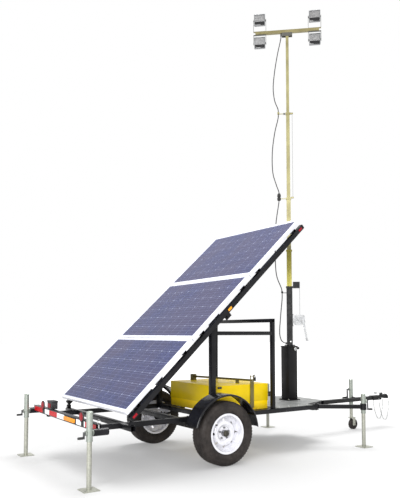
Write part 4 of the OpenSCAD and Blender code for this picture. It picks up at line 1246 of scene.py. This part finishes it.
# %% Caps, rings and weld beads
JACKS = {  # body: (x, y, tube low, tube top)
    "rear_left_jack": (-1550, 890, 420, 680), "rear_right_jack": (-1550, -890, 420, 680),
    "front_left_arm": (1990, 890, 400, 631), "front_right_arm": (1990, -890, 400, 631),
    "tongue_jack": (2870, 95, 330, 705),
}
for body, (x, y, low, top) in JACKS.items():
    bm = bmesh.new()
    axis = ON_TRAILER @ spot(x, y, 0)
    dome = [(0, -7), (29.2, -7), (30.2, -6), (30.2, -3), (27, 1), (16, 4.5), (0, 6)]
    ring = [(28.6, 1), (30.6, 2), (30.6, 9), (28.6, 11), (28.6, 1)]
    bead = [(28, -2.6), (29.6, -1.4), (30, 0), (29.6, 1.4), (28, 2.6), (28, -2.6)]
    for outline, at, steps in ((dome, top, 36), (ring, low, 36), (bead, low + 52, 30), (bead, top - 46, 30)):
        lathe(bm, [(radius, at + height) for radius, height in outline], axis, steps=steps)
    settle(f"{body}_fittings", mesh_of(bm), jack_zinc, body)
print("jacks dressed:", len(JACKS))

# %% [markdown]
# A pin locks each rear jack upright or level in its swivel. Its bail handle is a thin ring
# that hangs on the pin's head.

# %% Swivel pins
for side, turn in (("left", 1), ("right", -1)):
    bm = bmesh.new()
    x0, y0, z0 = -1462, turn * 890, 495
    hose(bm, [ON_TRAILER @ mm(x0, y0, z0 + 33), ON_TRAILER @ mm(x0, y0, z0 + 62)], 0.006, sides=12)
    bail = [math.radians(a) for a in range(20, 350, 22)]
    loop = [mm(x0, y0 + 26 * math.sin(a), z0 + 84 - 26 * math.cos(a)) for a in bail]
    loop = [mm(x0, y0, z0 + 58)] + loop + [mm(x0, y0 - 3, z0 + 58)]
    hose(bm, [ON_TRAILER @ p for p in loop], 0.0022, sides=6)
    settle(f"rear_{side}_swivel_pin", mesh_of(bm), bright_zinc, "chassis")
    print("swivel pin", side)

# %% [markdown]
# Each crank's handle has a rubber sleeve with seven ribs. The front jacks' cranks point
# along their swing arms, so their sleeves are turned by the arms' own angle.

# %% Crank sleeves
GRIPS = {  # body: (x, y and z of the crank's axis, sleeve length, which way it is turned about Z)
    "rear_left_crank": (-1550, 890, 455, 52, 0), "rear_right_crank": (-1550, -890, 455, 52, 0),
    "tongue_crank": (2870, 95, 455, 90, 0),
    "front_left_crank": (1990, 890, 450, 50, 1), "front_right_crank": (1990, -890, 450, 50, -1),
}
ARM_TURN = math.degrees(math.atan2(330, 460))
for body, (x, y, z, long, side) in GRIPS.items():
    reach = 70 if body == "tongue_crank" else 46
    turn = Matrix.Rotation(math.radians(180 + side * ARM_TURN), 4, "Z") if side else HERE
    grip = ON_TRAILER @ spot(x, y, z) @ turn @ spot(-reach - 13, 0, 0) @ FACING["-x"]
    bm = bmesh.new()
    outline = [(0, 1), (10.4, 1)]
    for k in range(7):
        rib = (long - 8) / 7
        at = 3 + k * rib
        outline += [(10.4, at), (11.6, at + 1), (11.6, at + rib - 2), (10.4, at + rib - 1)]
    outline += [(10.4, long - 4), (9, long - 1.2), (0, long - 1.2)]
    lathe(bm, outline, grip, steps=20)
    settle(f"{body}_sleeve", mesh_of(bm), grip_rubber, body)
print("sleeves:", len(GRIPS))

# %% [markdown]
# ## Light and floor
# The trailer stands on a pale floor in a bright studio. A large soft lamp overhead and a
# second from the viewer's left keep the shadow under the trailer soft, and a white world
# fills the rest. The floor also glows with painted light, faint near the middle and
# stronger far off, so that it runs into the background without an edge.

# %% Studio
bm = bmesh.new()
bmesh.ops.create_grid(bm, x_segments=1, y_segments=1, size=60)
floor = bpy.data.objects.new("floor", mesh_of(bm, turn_out=False))
bpy.context.scene.collection.objects.link(floor)
floor_white, tree, shader, where = new_finish("floor_white", Roughness=0.9, Specular_IOR_Level=0.0)
shader.inputs["Base Color"].default_value = (0.37, 0.37, 0.37, 1)
shader.inputs["Emission Color"].default_value = (1, 1, 1, 1)
# the floor glows: painted light, faint near the middle and stronger far off, so that it fades into the white world
far_off = put(tree, "ShaderNodeVectorMath", {0: where}, operation="LENGTH").outputs["Value"]
tree.links.new(ramp_of(tree, far_off, 3.0, 7.0, 0.25, 0.85), shader.inputs["Emission Strength"])
floor.data.materials.append(floor_white)

world = bpy.data.worlds.new("studio")
bpy.context.scene.world = world
world.use_nodes = True
world.node_tree.nodes["Background"].inputs["Color"].default_value = (1, 1, 1, 1)
world.node_tree.nodes["Background"].inputs["Strength"].default_value = 1.0


def soft_lamp(name, place, aim, size, watts):
    """A square soft lamp at a place, looking at a point."""
    data = bpy.data.lights.new(name, "AREA")
    data.energy, data.size = watts, size
    lamp = bpy.data.objects.new(name, data)
    lamp.location = place
    lamp.rotation_euler = (Vector(aim) - Vector(place)).to_track_quat("-Z", "Y").to_euler()
    bpy.context.scene.collection.objects.link(lamp)


soft_lamp("overhead", (2.0, 1.2, 11.0), (0, -0.2, 0), 6.0, 1550)
soft_lamp("from_the_left", (-8.0, -6.5, 3.2), (0, 0, 1.2), 4.0, 760)
bpy.context.scene.view_settings.view_transform = "Standard"
print("studio lit")
